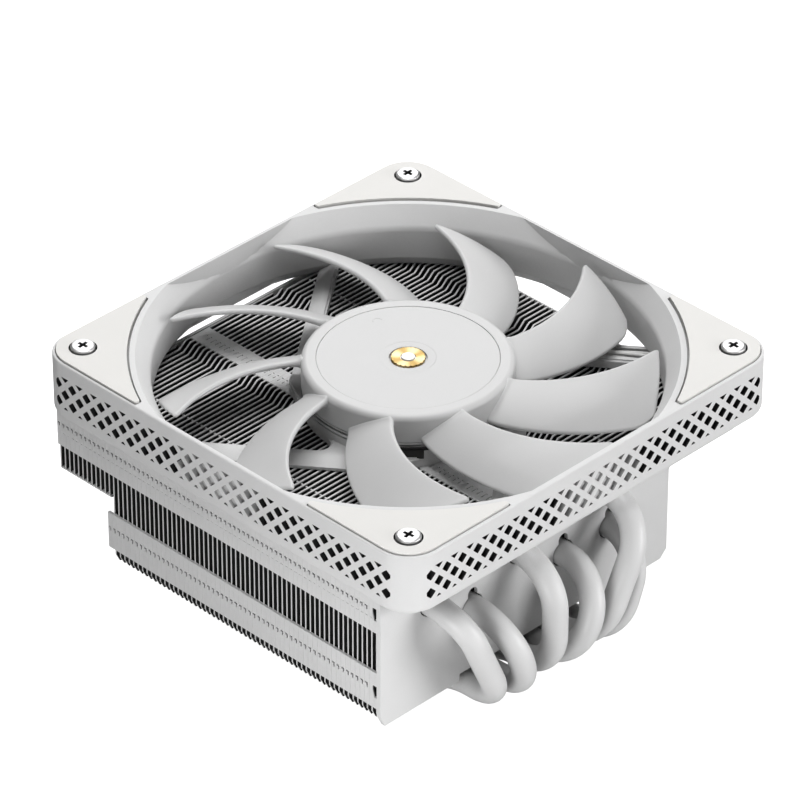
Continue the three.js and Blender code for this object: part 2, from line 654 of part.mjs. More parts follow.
function finStack() {
  const firstX = STACK_LEFT + FIRST_FIN_INSET;
  const sheets = Array.from({ length: FIN_COUNT }, (_, i) => (
    slab(finPlan(firstX + i * FIN_PITCH), STACK_BOTTOM - SKIN, STACK_TOP + SKIN)
  ));
  const side = outline([
    [STACK_FRONT, STACK_TOP], [STACK_FRONT, STACK_BOTTOM + FIN_CORNER_Z],
    [STACK_FRONT + FIN_CORNER_Y, STACK_BOTTOM], ...legNotch, [STACK_BACK - FIN_CORNER_Y, STACK_BOTTOM],
    [STACK_BACK, STACK_BOTTOM + FIN_CORNER_Z], [STACK_BACK, WING_BOTTOM],
    [WING_BACK, WING_BOTTOM], [WING_BACK, STACK_TOP],
  ]);
  const step = box(STACK_LEFT - SKIN, STEP_X, STACK_FRONT - SKIN, WING_BACK,
    STACK_BOTTOM - SKIN, STEP_BOTTOM);
  const space = slabAlongX(side, STACK_LEFT, STACK_RIGHT).subtract(step);

  const front = STACK_FRONT;
  const deep = BAND_THICKNESS;
  const slots = joinAll(SLOTS.map(([low, high]) => (
    box(STACK_RIGHT - SLOT_LENGTH, STACK_RIGHT + SKIN, front - SKIN, front + deep + GAP, low, high)
  )));
  const bands = joinAll([
    box(STACK_LEFT, STACK_RIGHT, front, front + deep, WING_BOTTOM, STACK_TOP),
    box(STEP_X - STEP_BAND_OVERHANG, STACK_RIGHT, front, front + deep, LOWER_BAND_BOTTOM, LOWER_BAND_TOP),
    box(STACK_LEFT, STACK_RIGHT, WING_BACK - deep, WING_BACK, WING_BOTTOM, STACK_TOP),
    box(STACK_LEFT, STACK_RIGHT, TOP_BAND_FRONT, TOP_BAND_BACK, STACK_TOP - deep, STACK_TOP),
  ]).intersect(space).subtract(slots);

  let stack = joinAll(sheets).intersect(space).add(bands);
  for (const { y, z } of PIPES) {
    const start = isUpper(z) ? STACK_LEFT - SKIN : PIPE_TIP_LOWER - 1;
    stack = stack.subtract(rod(start, STACK_RIGHT + SKIN, y, z, FIN_HOLE_R, HOLE_SIDES));
  }
  tabYs.forEach((y) => {
    stack = stack.subtract(tabCutter(y));
  });
  const half = HEAD_POCKET_HALF;
  for (const y of [-EAR_Y, EAR_Y]) {
    stack = stack.subtract(box(-half, half, y - half, y + half, STACK_BOTTOM - SKIN, HEAD_POCKET_TOP));
  }
  return stack;
}

function tab(x0, x1, y) {
  return box(x0, x1, y - TAB_HALF, y + TAB_HALF, STACK_TOP - TAB_THICKNESS, STACK_TOP);
}

function drillTabs(plate, x) {
  return tabYs.reduce((cut, y) => (
    cut.subtract(post(x, y, STACK_TOP - TAB_HOLE_DEPTH, STACK_TOP + SKIN, TAB_HOLE_R, 12))
  ), plate);
}

function rightPlate() {
  const front = STACK_FRONT - GAP - FLANGE_THICKNESS;
  const side = outline([
    [front, STACK_TOP], [front, STACK_BOTTOM + FIN_CORNER_Z], [front + FIN_CORNER_Y, STACK_BOTTOM],
    ...legNotch,
    [STACK_BACK - PLATE_CORNER, STACK_BOTTOM], [STACK_BACK, STACK_BOTTOM + PLATE_CORNER],
    [STACK_BACK, WING_BOTTOM], [PLATE_ARM_BACK, WING_BOTTOM], [PLATE_ARM_BACK, STACK_TOP],
  ]);
  const outerX = PLATE_RIGHT_X + PLATE_THICKNESS;
  const flange = box(STACK_RIGHT - FLANGE_LENGTH, outerX, front, front + FLANGE_THICKNESS,
    STACK_BOTTOM + FIN_CORNER_Z, STACK_TOP);
  let plate = slabAlongX(side, PLATE_RIGHT_X, outerX).add(flange);
  for (const { y, z } of PIPES) {
    plate = plate.subtract(rod(PLATE_RIGHT_X - SKIN, outerX + SKIN, y, z, PIPE_HOLE_R, 16));
    if (!isUpper(z)) {
      plate = plate.subtract(box(PLATE_RIGHT_X - SKIN, outerX + SKIN,
        y - KEYHOLE_HALF, y + KEYHOLE_HALF, z, KEYHOLE_TOP));
    }
  }
  tabYs.forEach((y) => {
    plate = plate.add(tab(PLATE_RIGHT_X, screwReach + TAB_HALF, y));
  });
  return drillTabs(plate, screwReach);
}

function leftPlate() {
  const side = outline([
    [STACK_FRONT, STEP_BOTTOM], [STACK_BACK, STEP_BOTTOM], [STACK_BACK, WING_BOTTOM],
    [PLATE_ARM_BACK, WING_BOTTOM], [PLATE_ARM_BACK, STACK_TOP], [STACK_FRONT, STACK_TOP],
  ]);
  let plate = slabAlongX(side, PLATE_LEFT_X, PLATE_LEFT_X + PLATE_THICKNESS);
  tabYs.forEach((y) => {
    plate = plate.add(tab(PLATE_LEFT_X, -screwReach + TAB_HALF, y));
  });
  return drillTabs(plate, -screwReach);
}

function legY(index) {
  return (index - (PIPES.length - 1) / 2) * LEG_PITCH;
}

// out of the stack, round two quarter bends in a tilted plane, then down an easy S into the base
function pipePoints({ y, z, reach, endY, low }, index) {
  const drop = new THREE.Vector3(0, endY - y, low - z);
  const length = drop.length();
  drop.normalize();
  const bendR = Math.min(reach - BEND_START_X, length / 2);
  const centreX = reach - bendR;
  const onBend = (x, along) => new THREE.Vector3(x, y, z).addScaledVector(drop, along);
  const points = [new THREE.Vector3(isUpper(z) ? PIPE_TIP_UPPER : PIPE_TIP_LOWER, y, z)];
  for (let i = 0; i <= BEND_STEPS; i += 1) {
    const angle = Math.PI / 2 * i / BEND_STEPS;
    points.push(onBend(centreX + bendR * Math.sin(angle), bendR * (1 - Math.cos(angle))));
  }
  for (let i = 0; i <= BEND_STEPS; i += 1) {
    const angle = Math.PI / 2 * i / BEND_STEPS;
    points.push(onBend(centreX + bendR * Math.cos(angle), length - bendR * (1 - Math.sin(angle))));
  }
  const baseX = BASE_HALF_X + SKIN;
  for (let i = 1; i <= DIP_STEPS; i += 1) {
    const part = i / DIP_STEPS;
    const ease = (1 - Math.cos(Math.PI * part)) / 2;
    points.push(new THREE.Vector3(
      THREE.MathUtils.lerp(centreX, baseX, part),
      THREE.MathUtils.lerp(endY, legY(index), ease),
      THREE.MathUtils.lerp(low, LEG_Z, ease),
    ));
  }
  points.push(new THREE.Vector3(LEG_INSET - BASE_HALF_X, legY(index), LEG_Z));
  return points;
}

// ---- base and crossbar -------------------------------------------------------------------

const legGrooves = joinAll(PIPES.map((_, i) => (
  rod(-BASE_HALF_X - SKIN, BASE_HALF_X + SKIN, legY(i), LEG_Z, PIPE_HOLE_R, 8)
)));

const baseScrewPlaces = corners.map(([sx, sy]) => [sx * BASE_SCREW_X, sy * BASE_SCREW_Y]);
const barScrewPlaces = [[0, -BASE_SCREW_Y], [0, BASE_SCREW_Y]];

function drillBase(block, places) {
  return places.reduce((cut, [x, y]) => (
    cut.subtract(post(x, y, BASE_HOLE_BOTTOM, COVER_TOP + SKIN, BASE_SCREW_R + GAP, 12))
  ), block);
}

function coldPlate() {
  const block = slab(roundedRectangle(BASE_HALF_X, BASE_HALF_Y, BASE_CORNER_R), 0, PLATE_TOP, 3);
  return drillBase(block.subtract(legGrooves), [...baseScrewPlaces, ...barScrewPlaces]);
}

function baseCover() {
  const plan = roundedRectangle(BASE_HALF_X, BASE_HALF_Y, BASE_CORNER_R);
  const block = slab(plan, PLATE_TOP + GAP, COVER_TOP, 3);
  const drilled = drillBase(block.subtract(legGrooves), [...baseScrewPlaces, ...barScrewPlaces]);
  return baseScrewPlaces.reduce((cut, [x, y]) => (
    cut.subtract(post(x, y, COVER_TOP - COUNTERBORE_DEPTH, COVER_TOP + SKIN, COUNTERBORE_R, 16))
  ), drilled);
}

function crossbar() {
  const top = BAR_BOTTOM + BAR_THICKNESS;
  const earTop = EAR_BOTTOM + BAR_THICKNESS;
  const bend = BAR_BEND_Y;
  const side = outline([
    [-EAR_Y, EAR_BOTTOM], [-bend, EAR_BOTTOM], [-bend, BAR_BOTTOM], [bend, BAR_BOTTOM],
    [bend, EAR_BOTTOM], [EAR_Y, EAR_BOTTOM], [EAR_Y, earTop], [bend + BAR_THICKNESS, earTop],
    [bend + BAR_THICKNESS, top], [-bend - BAR_THICKNESS, top], [-bend - BAR_THICKNESS, earTop],
    [-EAR_Y, earTop],
  ]);
  let bar = slabAlongX(side, -BAR_HALF_WIDTH, BAR_HALF_WIDTH);
  for (const sy of [-1, 1]) {
    const y = sy * EAR_Y;
    const tongue = box(-BAR_HALF_WIDTH, BAR_HALF_WIDTH, y - EAR_TONGUE, y + EAR_TONGUE, EAR_BOTTOM, earTop);
    const round = post(0, y, EAR_BOTTOM, earTop, EAR_R, 24);
    bar = bar.add(tongue).add(round);
    bar = bar.subtract(post(0, y, EAR_BOTTOM - SKIN, earTop + SKIN, SPRING_SCREW_R + 0.5, 18));
    bar = bar.subtract(post(0, sy * BASE_SCREW_Y, BAR_BOTTOM - SKIN, top + SKIN, BASE_SCREW_R + GAP, 12));
  }
  return bar;
}

// hexagonal head on a plain shank, with a groove for its clip
function springScrew() {
  const clipZ = EAR_BOTTOM - GAP;
  const grooveR = SPRING_SCREW_R - CLIP_GROOVE;
  const grooveBottom = clipZ - EAR_CLIP_THICKNESS - 0.2;
  const head = post(0, 0, SPRING_TOP + 0.1, SPRING_HEAD_TOP, SPRING_HEAD_R, 6);
  const shank = turned([
    [0, SPRING_SCREW_TIP], [grooveR, SPRING_SCREW_TIP],
    [SPRING_SCREW_R, SPRING_SCREW_TIP + CLIP_GROOVE], [SPRING_SCREW_R, grooveBottom],
    [grooveR, grooveBottom], [grooveR, clipZ + 0.1],
    [SPRING_SCREW_R, clipZ + 0.1], [SPRING_SCREW_R, SPRING_TOP + 1], [0, SPRING_TOP + 1],
  ], 12);
  return head.add(shank);
}

function springScrewClip() {
  const top = EAR_BOTTOM - GAP;
  const washer = ring(SPRING_SCREW_R - 0.2, EAR_CLIP_R, top - EAR_CLIP_THICKNESS, top, 14);
  const slot = box(0.2, EAR_CLIP_R + SKIN, -1, 1, top - 2 * EAR_CLIP_THICKNESS, top + SKIN);
  return washer.subtract(slot);
}

function spring() {
  const bottom = EAR_BOTTOM + BAR_THICKNESS + 0.1 + SPRING_WIRE_R;
  const top = SPRING_TOP - SPRING_WIRE_R;
  const perTurn = 9;
  const points = Array.from({ length: SPRING_TURNS * perTurn + 1 }, (_, i) => {
    const angle = 2 * Math.PI * i / perTurn;
    const z = THREE.MathUtils.lerp(bottom, top, i / (SPRING_TURNS * perTurn));
    return new THREE.Vector3(SPRING_R * Math.cos(angle), SPRING_R * Math.sin(angle), z);
  });
  return tube(points, SPRING_WIRE_R, 4);
}

// ---- assembly ----------------------------------------------------------------------------

const cooler = new THREE.Group();

const fan = new THREE.Group();
fan.position.set(0, FAN_CENTRE_Y, TOTAL_HEIGHT);
cooler.add(fan);

fan.add(piece('fan_frame', fanFrame(), framePaint()));

const cornerNames = ['back_right', 'back_left', 'front_left', 'front_right'];
const fanScrewHead = 2.6;
corners.forEach(([sx, sy], k) => {
  const pad = piece(`corner_pad_${cornerNames[k]}`, cornerPad(), padRubber());
  pad.rotation.z = k * Math.PI / 2;
  fan.add(pad);
  const fixing = piece(`fan_screw_${cornerNames[k]}`, screw(fanScrewHead, 2.3, 1.6, 17), steel());
  fixing.position.set(sx * screwReach, sy * screwReach, -PAD_THICKNESS);
  fixing.rotation.z = 0.4 + 0.5 * k;
  fan.add(fixing);
});

const rotor = new THREE.Group();
rotor.add(piece('impeller', impeller(), bladePlastic()));
rotor.add(piece('hub_cap', ring(BADGE_R + 0.4, CAP_R, CAP_FLOOR + GAP, HUB_TOP + 0.1, 30), bladePlastic()));
const badge = turned([
  [0, CAP_FLOOR + GAP], [BADGE_R, CAP_FLOOR + GAP], [BADGE_R, HUB_TOP + 0.25],
  [BADGE_CENTRE_R + 0.2, HUB_TOP + 0.05], [BADGE_CENTRE_R, HUB_TOP + 0.4], [0, HUB_TOP + 0.4],
], 24);
rotor.add(piece('bearing_cap', badge, brass()));
rotor.add(piece('rotor_yoke', rotorYoke(), steel()));
rotor.add(piece('magnet_ring', ring(MAGNET_INNER_R, MAGNET_OUTER_R, YOKE_BOTTOM, MAGNET_TOP), ferrite()));
const shaft = turned([
  [0, SHAFT_BOTTOM], [SHAFT_R - SHAFT_CHAMFER, SHAFT_BOTTOM], [SHAFT_R, SHAFT_BOTTOM + SHAFT_CHAMFER],
  [SHAFT_R, SHAFT_TOP], [0, SHAFT_TOP],
], 16);
rotor.add(piece('rotor_shaft', shaft, steel()));
rotor.add(piece('shaft_clip', ring(SHAFT_R + GAP, CLIP_R, CLIP_BOTTOM, CLIP_TOP, 12), steel()));
fan.add(rotor);

const sleeve = ring(SHAFT_R + GAP, SLEEVE_R, SLEEVE_BOTTOM, SLEEVE_TOP, 16);
fan.add(piece('bearing_sleeve', sleeve, sinteredBronze()));
fan.add(piece('stator_core', statorCore(), steel()));
fan.add(piece('motor_board', ring(TUBE_R + 2 * GAP, BOARD_R, BOARD_BOTTOM, BOARD_TOP, 20), circuitBoard()));
for (let k = 0; k < POLE_COUNT; k += 1) {
  const winding = piece(`stator_coil_${k + 1}`, coil(), copperWire());
  winding.rotation.z = k * 2 * Math.PI / POLE_COUNT;
  fan.add(winding);
}

fan.add(piece('fan_cable', tube(cablePoints, CABLE_R, 8), cableSleeve()));
const cableEnd = cablePoints.at(-1);
const plug = piece('fan_plug', plugBody(), cableSleeve());
plug.position.copy(cableEnd);
plug.rotation.y = THREE.MathUtils.degToRad(PLUG_TILT);
fan.add(plug);

cooler.add(piece('fin_stack', finStack(), finPaint()));
cooler.add(piece('end_plate_left', leftPlate(), finPaint()));
cooler.add(piece('end_plate_right', rightPlate(), finPaint()));
PIPES.forEach((pipe, i) => {
  cooler.add(piece(`heat_pipe_${i + 1}`, tube(pipePoints(pipe, i), PIPE_R, PIPE_SIDES), pipePaint()));
});

cooler.add(piece('cold_plate', coldPlate(), nickel()));
cooler.add(piece('base_cover', baseCover(), finPaint()));
cooler.add(piece('crossbar', crossbar(), steel()));

baseScrewPlaces.forEach(([x, y], k) => {
  const fixing = piece(`base_screw_${cornerNames[k]}`, screw(2.5, 1.3, BASE_SCREW_R, 6.5), steel());
  fixing.position.set(x, y, COVER_TOP - 1.3);
  cooler.add(fixing);
});

const sideNames = ['front', 'back'];
barScrewPlaces.forEach(([x, y], k) => {
  const fixing = piece(`bar_screw_${sideNames[k]}`, screw(2.6, 1.7, BASE_SCREW_R, 9.5), steel());
  fixing.position.set(x, y, BAR_BOTTOM + BAR_THICKNESS + GAP);
  cooler.add(fixing);

  const sprung = new THREE.Group();
  sprung.position.set(0, k === 0 ? -EAR_Y : EAR_Y, 0);
  sprung.add(piece(`spring_screw_${sideNames[k]}`, springScrew(), steel()));
  sprung.add(piece(`screw_clip_${sideNames[k]}`, springScrewClip(), steel()));
  sprung.add(piece(`screw_spring_${sideNames[k]}`, spring(), steel()));
  cooler.add(sprung);
});

export default cooler;
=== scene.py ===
"""Looks of the low-profile CPU cooler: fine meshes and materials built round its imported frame."""

import json
import math

import bmesh
import bpy
from mathutils import Matrix, Vector


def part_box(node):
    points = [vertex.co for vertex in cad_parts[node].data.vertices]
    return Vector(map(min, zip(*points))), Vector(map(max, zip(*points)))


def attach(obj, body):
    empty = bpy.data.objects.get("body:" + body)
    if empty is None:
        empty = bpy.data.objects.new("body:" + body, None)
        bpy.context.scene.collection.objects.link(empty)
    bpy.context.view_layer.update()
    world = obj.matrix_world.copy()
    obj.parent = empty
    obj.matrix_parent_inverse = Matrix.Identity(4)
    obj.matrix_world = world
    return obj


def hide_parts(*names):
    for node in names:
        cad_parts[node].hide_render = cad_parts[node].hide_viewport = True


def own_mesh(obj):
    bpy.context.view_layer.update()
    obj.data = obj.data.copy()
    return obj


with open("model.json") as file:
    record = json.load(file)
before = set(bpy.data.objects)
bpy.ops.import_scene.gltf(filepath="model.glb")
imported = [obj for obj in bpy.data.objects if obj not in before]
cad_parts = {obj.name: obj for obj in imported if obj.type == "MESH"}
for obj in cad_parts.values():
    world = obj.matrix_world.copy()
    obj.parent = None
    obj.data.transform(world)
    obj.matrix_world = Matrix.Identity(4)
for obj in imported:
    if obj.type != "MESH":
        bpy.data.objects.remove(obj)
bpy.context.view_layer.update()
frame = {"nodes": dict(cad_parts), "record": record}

# ---- places, read from the frame ---------------------------------------------------------
# Everything below is in millimetres until a piece is finished, and then it is turned to metres.

MM = 0.001


def box_mm(node):
    low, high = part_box(node)
    return low / MM, high / MM


def centre_mm(node):
    low, high = box_mm(node)
    return (low + high) / 2


CORNERS = ["back_right", "back_left", "front_left", "front_right"]
SIDES = ["front", "back"]

frame_low, frame_high = box_mm("fan_frame")
pad_low, pad_high = box_mm("corner_pad_back_right")
hub_high = box_mm("impeller")[1]
fin_low, fin_high = box_mm("fin_stack")
plate_low, plate_high = box_mm("end_plate_right")
left_low = box_mm("end_plate_left")[0]
cold_low, cold_high = box_mm("cold_plate")
cover_low, cover_high = box_mm("base_cover")
bar_low, bar_high = box_mm("crossbar")

# the fan's own frame: its axis is Z, and Z = 0 is the top of the corner pads
FAN = Vector((centre_mm("bearing_cap").x, centre_mm("bearing_cap").y, pad_high.z))
ORIGIN = Vector((0, 0, 0))


def fan_ring(node):
    """A round fan piece's outer radius and its lowest and highest level in the fan's frame."""
    low, high = box_mm(node)
    return (high.x - low.x) / 2, low.z - FAN.z, high.z - FAN.z


def upright_axis(node):
    spot = centre_mm(node)
    return Vector((spot.x, spot.y, 0))


def on_top(node, height):
    """Middle of a node, height below its top: where the seat of a screw's head lies."""
    spot = centre_mm(node)
    return Vector((spot.x, spot.y, box_mm(node)[1].z - height))


# ---- sizes -------------------------------------------------------------------------------

# fan frame
FRAME_HALF = (frame_high.x - frame_low.x) / 2
FRAME_CORNER_R = 8.5
FRAME_TOP = frame_high.z - FAN.z
FRAME_BOTTOM = frame_low.z - FAN.z
FRAME_BOTTOM_FILLET = 1.5
FRAME_TOP_FILLET = 0.45
WALL = 1.2
DUCT_R = 58.8
DUCT_WALL = 1.4
DUCT_CHAMFER_TOP = -13.4
DUCT_CHAMFER_R = 60.4
BELL_R = 62.3
BELL_BOTTOM = -5.3
BELL_FLAT = 58.85
POCKET_TOP = -4
POCKET_BOTTOM = -13.4
BOSS_R = 6.5
SCREW_REACH = centre_mm("fan_screw_back_right").x - FAN.x
SCREW_HOLE_R = 2.15

# diamond mesh in the side walls: a 45 degree lattice, cut off by a band with round ends
MESH_PITCH = 4.82
MESH_MIDDLE = -8.67
MESH_HOLE = 1.45
MESH_COLUMNS = 11
MESH_BAND_HALF = 54
MESH_BAND_TOP = -4.1
MESH_BAND_BOTTOM = -12.8
MESH_FLOOR_R = 59.4                 # the holes end here where the duct is right behind the wall
LIT_MESH_HALF = 13                  # either side of the middle of a side, where its mesh is shallow and gets no painted shade

# corner pads
PAD_THICKNESS = pad_high.z - pad_low.z
PAD_EDGE = pad_high.x - FAN.x
PAD_TIP = 27.7
PAD_TIP_R = 0.55
PAD_ARC_R = 64.2
PAD_CORNER_R = 7.7
PAD_HOLE_R = 3.3
PAD_SEAT_GAP = 0.25                 # between a pad and the straight sides of its recess
PAD_GROOVE = 0.55                   # open groove along the hollow side

# motor base and struts
CUP_R = 24.4
CUP_WALL = 1.5
CUP_FLOOR = -14.6
CUP_RIM = -10.75
TUBE_R = 5.4
TUBE_BORE_R = 4.2
TUBE_TOP = -8.2
STRUT_ANGLE = 217.6
STRUT_OUTER = 28.2                  # distance of a strut's outer side from the fan's axis
STRUT_INNER = 23.6
STRUT_RIDGE = 25.4                  # flat ridge from the inner side to here, then a slope
STRUT_SLOPE_START = 6
STRUT_OUTER_TOP = -15
STRUT_TOP = -13.6
STRUT_FILLET = 3
CABLE_STRUT = 2                     # the wide strut that carries the cable
CABLE_STRUT_INNER = 21.2
CHANNEL = (22.8, 26.6)
CHANNEL_FLOOR = -15.45

# rotor
HUB_R = 24.6
HUB_WALL = 1.6
HUB_TOP = hub_high.z - FAN.z
HUB_BOTTOM = -10.2
HUB_PLATE_BOTTOM = -4.7
CAP_R = 21.1
CAP_FLOOR = -3.4
BADGE_R = 4
BADGE_CENTRE_R = 1.6
BLADE_COUNT = 9
BLADE_ROOT_R = 23.8
BLADE_TIP_R = 57.5
BLADE_ROOT_THICKNESS = 1.5
BLADE_TIP_THICKNESS = 1.15
BLADE_EDGE = 0.75                   # how far in from its edges a blade is rounded off
BLADE_LEAD_CORNER = 1.7
BLADE_TRAIL_CORNER = 4
BLADE_CAMBER = 0.8
BLADE_FLARE = 1.1                   # extra thickness where a blade meets the hub
# a blade's leading and trailing edges, each at the root and at the tip: angle round the axis, and level
LEAD_ANGLES = (67.2, 89.5)
TRAIL_ANGLES = (42, 70.3)
LEAD_LEVELS = (-3.9, -3.1)
TRAIL_LEVELS = (-9.6, -11.7)
LEAD_SWEEP = 1.4                    # above 1, the leading edge sweeps more towards the tip

# fins
FIN_THICKNESS = 0.4
FIN_PITCH = 1.5
FIN_FIRST = fin_low.x + 0.4
STEP_X = -38.9
STEP_BOTTOM = 34.3
WING_FRONT = 46.3
WING_BOTTOM = 41.3
JOG_STARTS = [-9.3, 22.7, 52.7]
JOG_LENGTH = 4
JOG_SHIFT = 1.9
LEFT_PLATE_SETBACK = 2.4
TAB_HALF = 4.5                      # half width of an end plate's fan tabs
FIN_SETBACK = 0.6                   # bare fin edges lie this far behind the folded bands
FIN_CORNER_Y = 1.1
FIN_CORNER_Z = 2.2
PLATE_THICKNESS = 1
PLATE_CORNER_Y = 1.3
PLATE_CORNER_Z = 2.7
LOWER_BAND = (20.5, 30.3)           # levels of the lower folded band
TOP_BAND = (-3.9, 2.0)              # y of the folded band across the top
SEAM = 0.05                         # slit between neighbouring folded tabs
SPACER_LINES = [-26.6, 33.7]        # y of the small spacers between the fins, just under their top
LOWER_MARKS = (25.2, 26.5)          # levels of the interlock marks in the lower band
WINDOWS = [(44.6, 47.9), (23.4, 26.6)]
TAB_LINES = [FAN.y - SCREW_REACH, FAN.y + SCREW_REACH]
NOTCH_HALF = 22.1
NOTCH_RISE = 1.9
HEAD_POCKET_HALF = 5.5              # room over the sprung screws' heads
HEAD_POCKET_TOP = 21.4
LOWER_PIPE_END = -40                # the lower row's pipes end here, right of the step

# heat pipes
PIPE_R = 3
PIPE_SIDES = 40
UPPER_ROW = 43
LOWER_ROW = 35
LEG_Z = 6.15
LEG_PITCH = 7
BEND_START_X = 50.5
DRILL_R = 1.55
DRILL_FLOOR = 2.4
# each pipe leaves the stack at (y, z), bends out as far as reach, and comes round at (end_y, low)
PIPES = [
    dict(y=-31.3, z=UPPER_ROW, reach=60.2, end_y=-18.3, low=13.8),
    dict(y=-18.0, z=LOWER_ROW, reach=61.9, end_y=-10.7, low=12.9),
    dict(y=-3.3, z=UPPER_ROW, reach=61.5, end_y=-3.2, low=14.5),
    dict(y=11.2, z=LOWER_ROW, reach=62.4, end_y=3.5, low=13.8),
    dict(y=25.5, z=UPPER_ROW + 2, reach=62.2, end_y=10.4, low=14.8),
    dict(y=26.5, z=LOWER_ROW, reach=60.5, end_y=17.9, low=12.7),
]

# ---- mesh helpers ------------------------------------------------------------------------


def new_object(name, points, faces):
    mesh = bpy.data.meshes.new(name)
    mesh.from_pydata([tuple(p) for p in points], [], faces)
    work = bmesh.new()
    work.from_mesh(mesh)
    bmesh.ops.recalc_face_normals(work, faces=work.faces)
    work.to_mesh(mesh)
    work.free()
    obj = bpy.data.objects.new(name, mesh)
    bpy.context.scene.collection.objects.link(obj)
    return obj


def discard(obj):
    mesh = obj.data
    bpy.data.objects.remove(obj)
    bpy.data.meshes.remove(mesh)


def bake(obj):
    """Applies the object's modifiers."""
    graph = bpy.context.evaluated_depsgraph_get()
    mesh = bpy.data.meshes.new_from_object(obj.evaluated_get(graph))
    old = obj.data
    obj.modifiers.clear()
    obj.data = mesh
    bpy.data.meshes.remove(old)
    return obj


def combine(target, tools, operation):
    for tool in tools:
        step = target.modifiers.new("combine", "BOOLEAN")
        step.solver = "MANIFOLD"
        step.operation = operation
        step.object = tool
    bake(target)
    for tool in tools:
        discard(tool)
    return target


def cut(target, *tools):
    return combine(target, tools, "DIFFERENCE")


def unite(target, *tools):
    return combine(target, tools, "UNION")


def common(target, *tools):
    return combine(target, tools, "INTERSECT")


def gather(solids):
    """One object from several solids that don't touch each other."""
    points, faces = [], []
    for solid in solids:
        start = len(points)
        points += [v.co.copy() for v in solid.data.vertices]
        faces += [[start + i for i in f.vertices] for f in solid.data.polygons]
        discard(solid)
    return new_object("gathered", points, faces)


def place(obj, matrix):
    obj.data.transform(matrix)
    obj.data.update()
    return obj


def turn(obj, degrees):
    return place(obj, Matrix.Rotation(math.radians(degrees), 4, "Z"))


def shift(obj, x, y, z):
    return place(obj, Matrix.Translation((x, y, z)))


def duplicate(obj):
    copy = obj.copy()
    copy.data = obj.data.copy()
    bpy.context.scene.collection.objects.link(copy)
    return copy


def round_axis(obj, count):
    """Copies of one solid at even angles round Z, as one object."""
    copies = [turn(duplicate(obj), 360 * k / count) for k in range(count)]
    discard(obj)
    return gather(copies)


def loft(rings):
    """Closed solid through rings of equal length."""
    count = len(rings[0])
    points = [p for ring in rings for p in ring]
    faces = [list(range(count)), list(range(len(points) - count, len(points)))]
    for level in range(len(rings) - 1):
        low, high = level * count, (level + 1) * count
        for i in range(count):
            j = (i + 1) % count
            faces.append([low + i, low + j, high + j, high + i])
    return new_object("loft", points, faces)


def prism(outline, low, high):
    return loft([[(x, y, z) for x, y in outline] for z in (low, high)])


def prism_along_x(outline, low, high):
    """Outline drawn as (y, z)."""
    return loft([[(x, y, z) for y, z in outline] for x in (low, high)])


def prism_along_y(outline, low, high):
    """Outline drawn as (x, z)."""
    return loft([[(x, y, z) for x, z in outline] for y in (low, high)])


def block(x0, x1, y0, y1, z0, z1):
    return prism([(x0, y0), (x1, y0), (x1, y1), (x0, y1)], z0, z1)


def square_column(half, low, high):
    """Square block round the Z axis."""
    return block(-half, half, -half, half, low, high)


def post(x, y, low, high, radius, sides=48):
    ring = [(x + radius * math.cos(a), y + radius * math.sin(a)) for a in angles(sides)]
    return prism(ring, low, high)


def rod(x0, x1, y, z, radius, sides=48):
    ring = [(y + radius * math.cos(a), z + radius * math.sin(a)) for a in angles(sides)]
    return prism_along_x(ring, x0, x1)


def angles(count):
    return [2 * math.pi * k / count for k in range(count)]


def lathe(profile, sides):
    """Profile of (radius, z) turned round Z. It starts and ends on the axis, or closes on itself."""
    on_axis = profile[0][0] == 0
    inner = profile[1:-1] if on_axis else profile
    points = [(r * math.cos(a), r * math.sin(a), z) for r, z in inner for a in angles(sides)]
    faces = []
    last = len(inner) if not on_axis else len(inner) - 1
    for level in range(last):
        low = level * sides
        high = (level + 1) % len(inner) * sides
        for i in range(sides):
            j = (i + 1) % sides
            faces.append([low + i, low + j, high + j, high + i])
    if on_axis:
        faces.append(list(range(sides)))
        faces.append(list(range(len(points) - sides, len(points))))
        for end, ring_start in ((0, 0), (-1, len(points) - sides)):
            pole = (0, 0, profile[end][1])
            if abs(pole[2] - points[ring_start][2]) > 1e-6:
                faces.remove(list(range(ring_start, ring_start + sides)))
                points.append(pole)
                tip = len(points) - 1
                faces += [[ring_start + i, ring_start + (i + 1) % sides, tip] for i in range(sides)]
    return new_object("lathe", points, faces)


def turned(corners, sides, steps=4):
    """Solid turned round Z from (r, z, radius) corners."""
    return lathe(rounded_outline(corners, steps), sides)


def ring_solid(inner, outer, low, high, edge, sides=64):
    corners = [(inner, low, edge), (outer, low, edge), (outer, high, edge), (inner, high, edge)]
    return turned(corners, sides, 3)


def rounded_outline(corners, steps=6):
    """Polygon from (x, y, radius) corners, each round one as an arc."""
    outline = []
    for i, (x, y, radius) in enumerate(corners):
        here = Vector((x, y))
        if radius == 0:
            outline.append((x, y))
            continue
        before = (Vector(corners[i - 1][:2]) - here).normalized()
        after = (Vector(corners[(i + 1) % len(corners)][:2]) - here).normalized()
        half = before.angle(after) / 2
        middle = here + (before + after).normalized() * radius / math.sin(half)
        start = here + before * radius / math.tan(half) - middle
        end = here + after * radius / math.tan(half) - middle
        sweep = start.angle_signed(end)
        for k in range(steps + 1):
            arm = start.copy()
            arm.rotate(Matrix.Rotation(-sweep * k / steps, 2))
            outline.append(tuple(middle + arm))
    return outline


def round_rectangle(half_x, half_y, radius, steps=8):
    corners = [(half_x, -half_y), (half_x, half_y), (-half_x, half_y), (-half_x, -half_y)]
    return rounded_outline([(x, y, radius) for x, y in corners], steps)


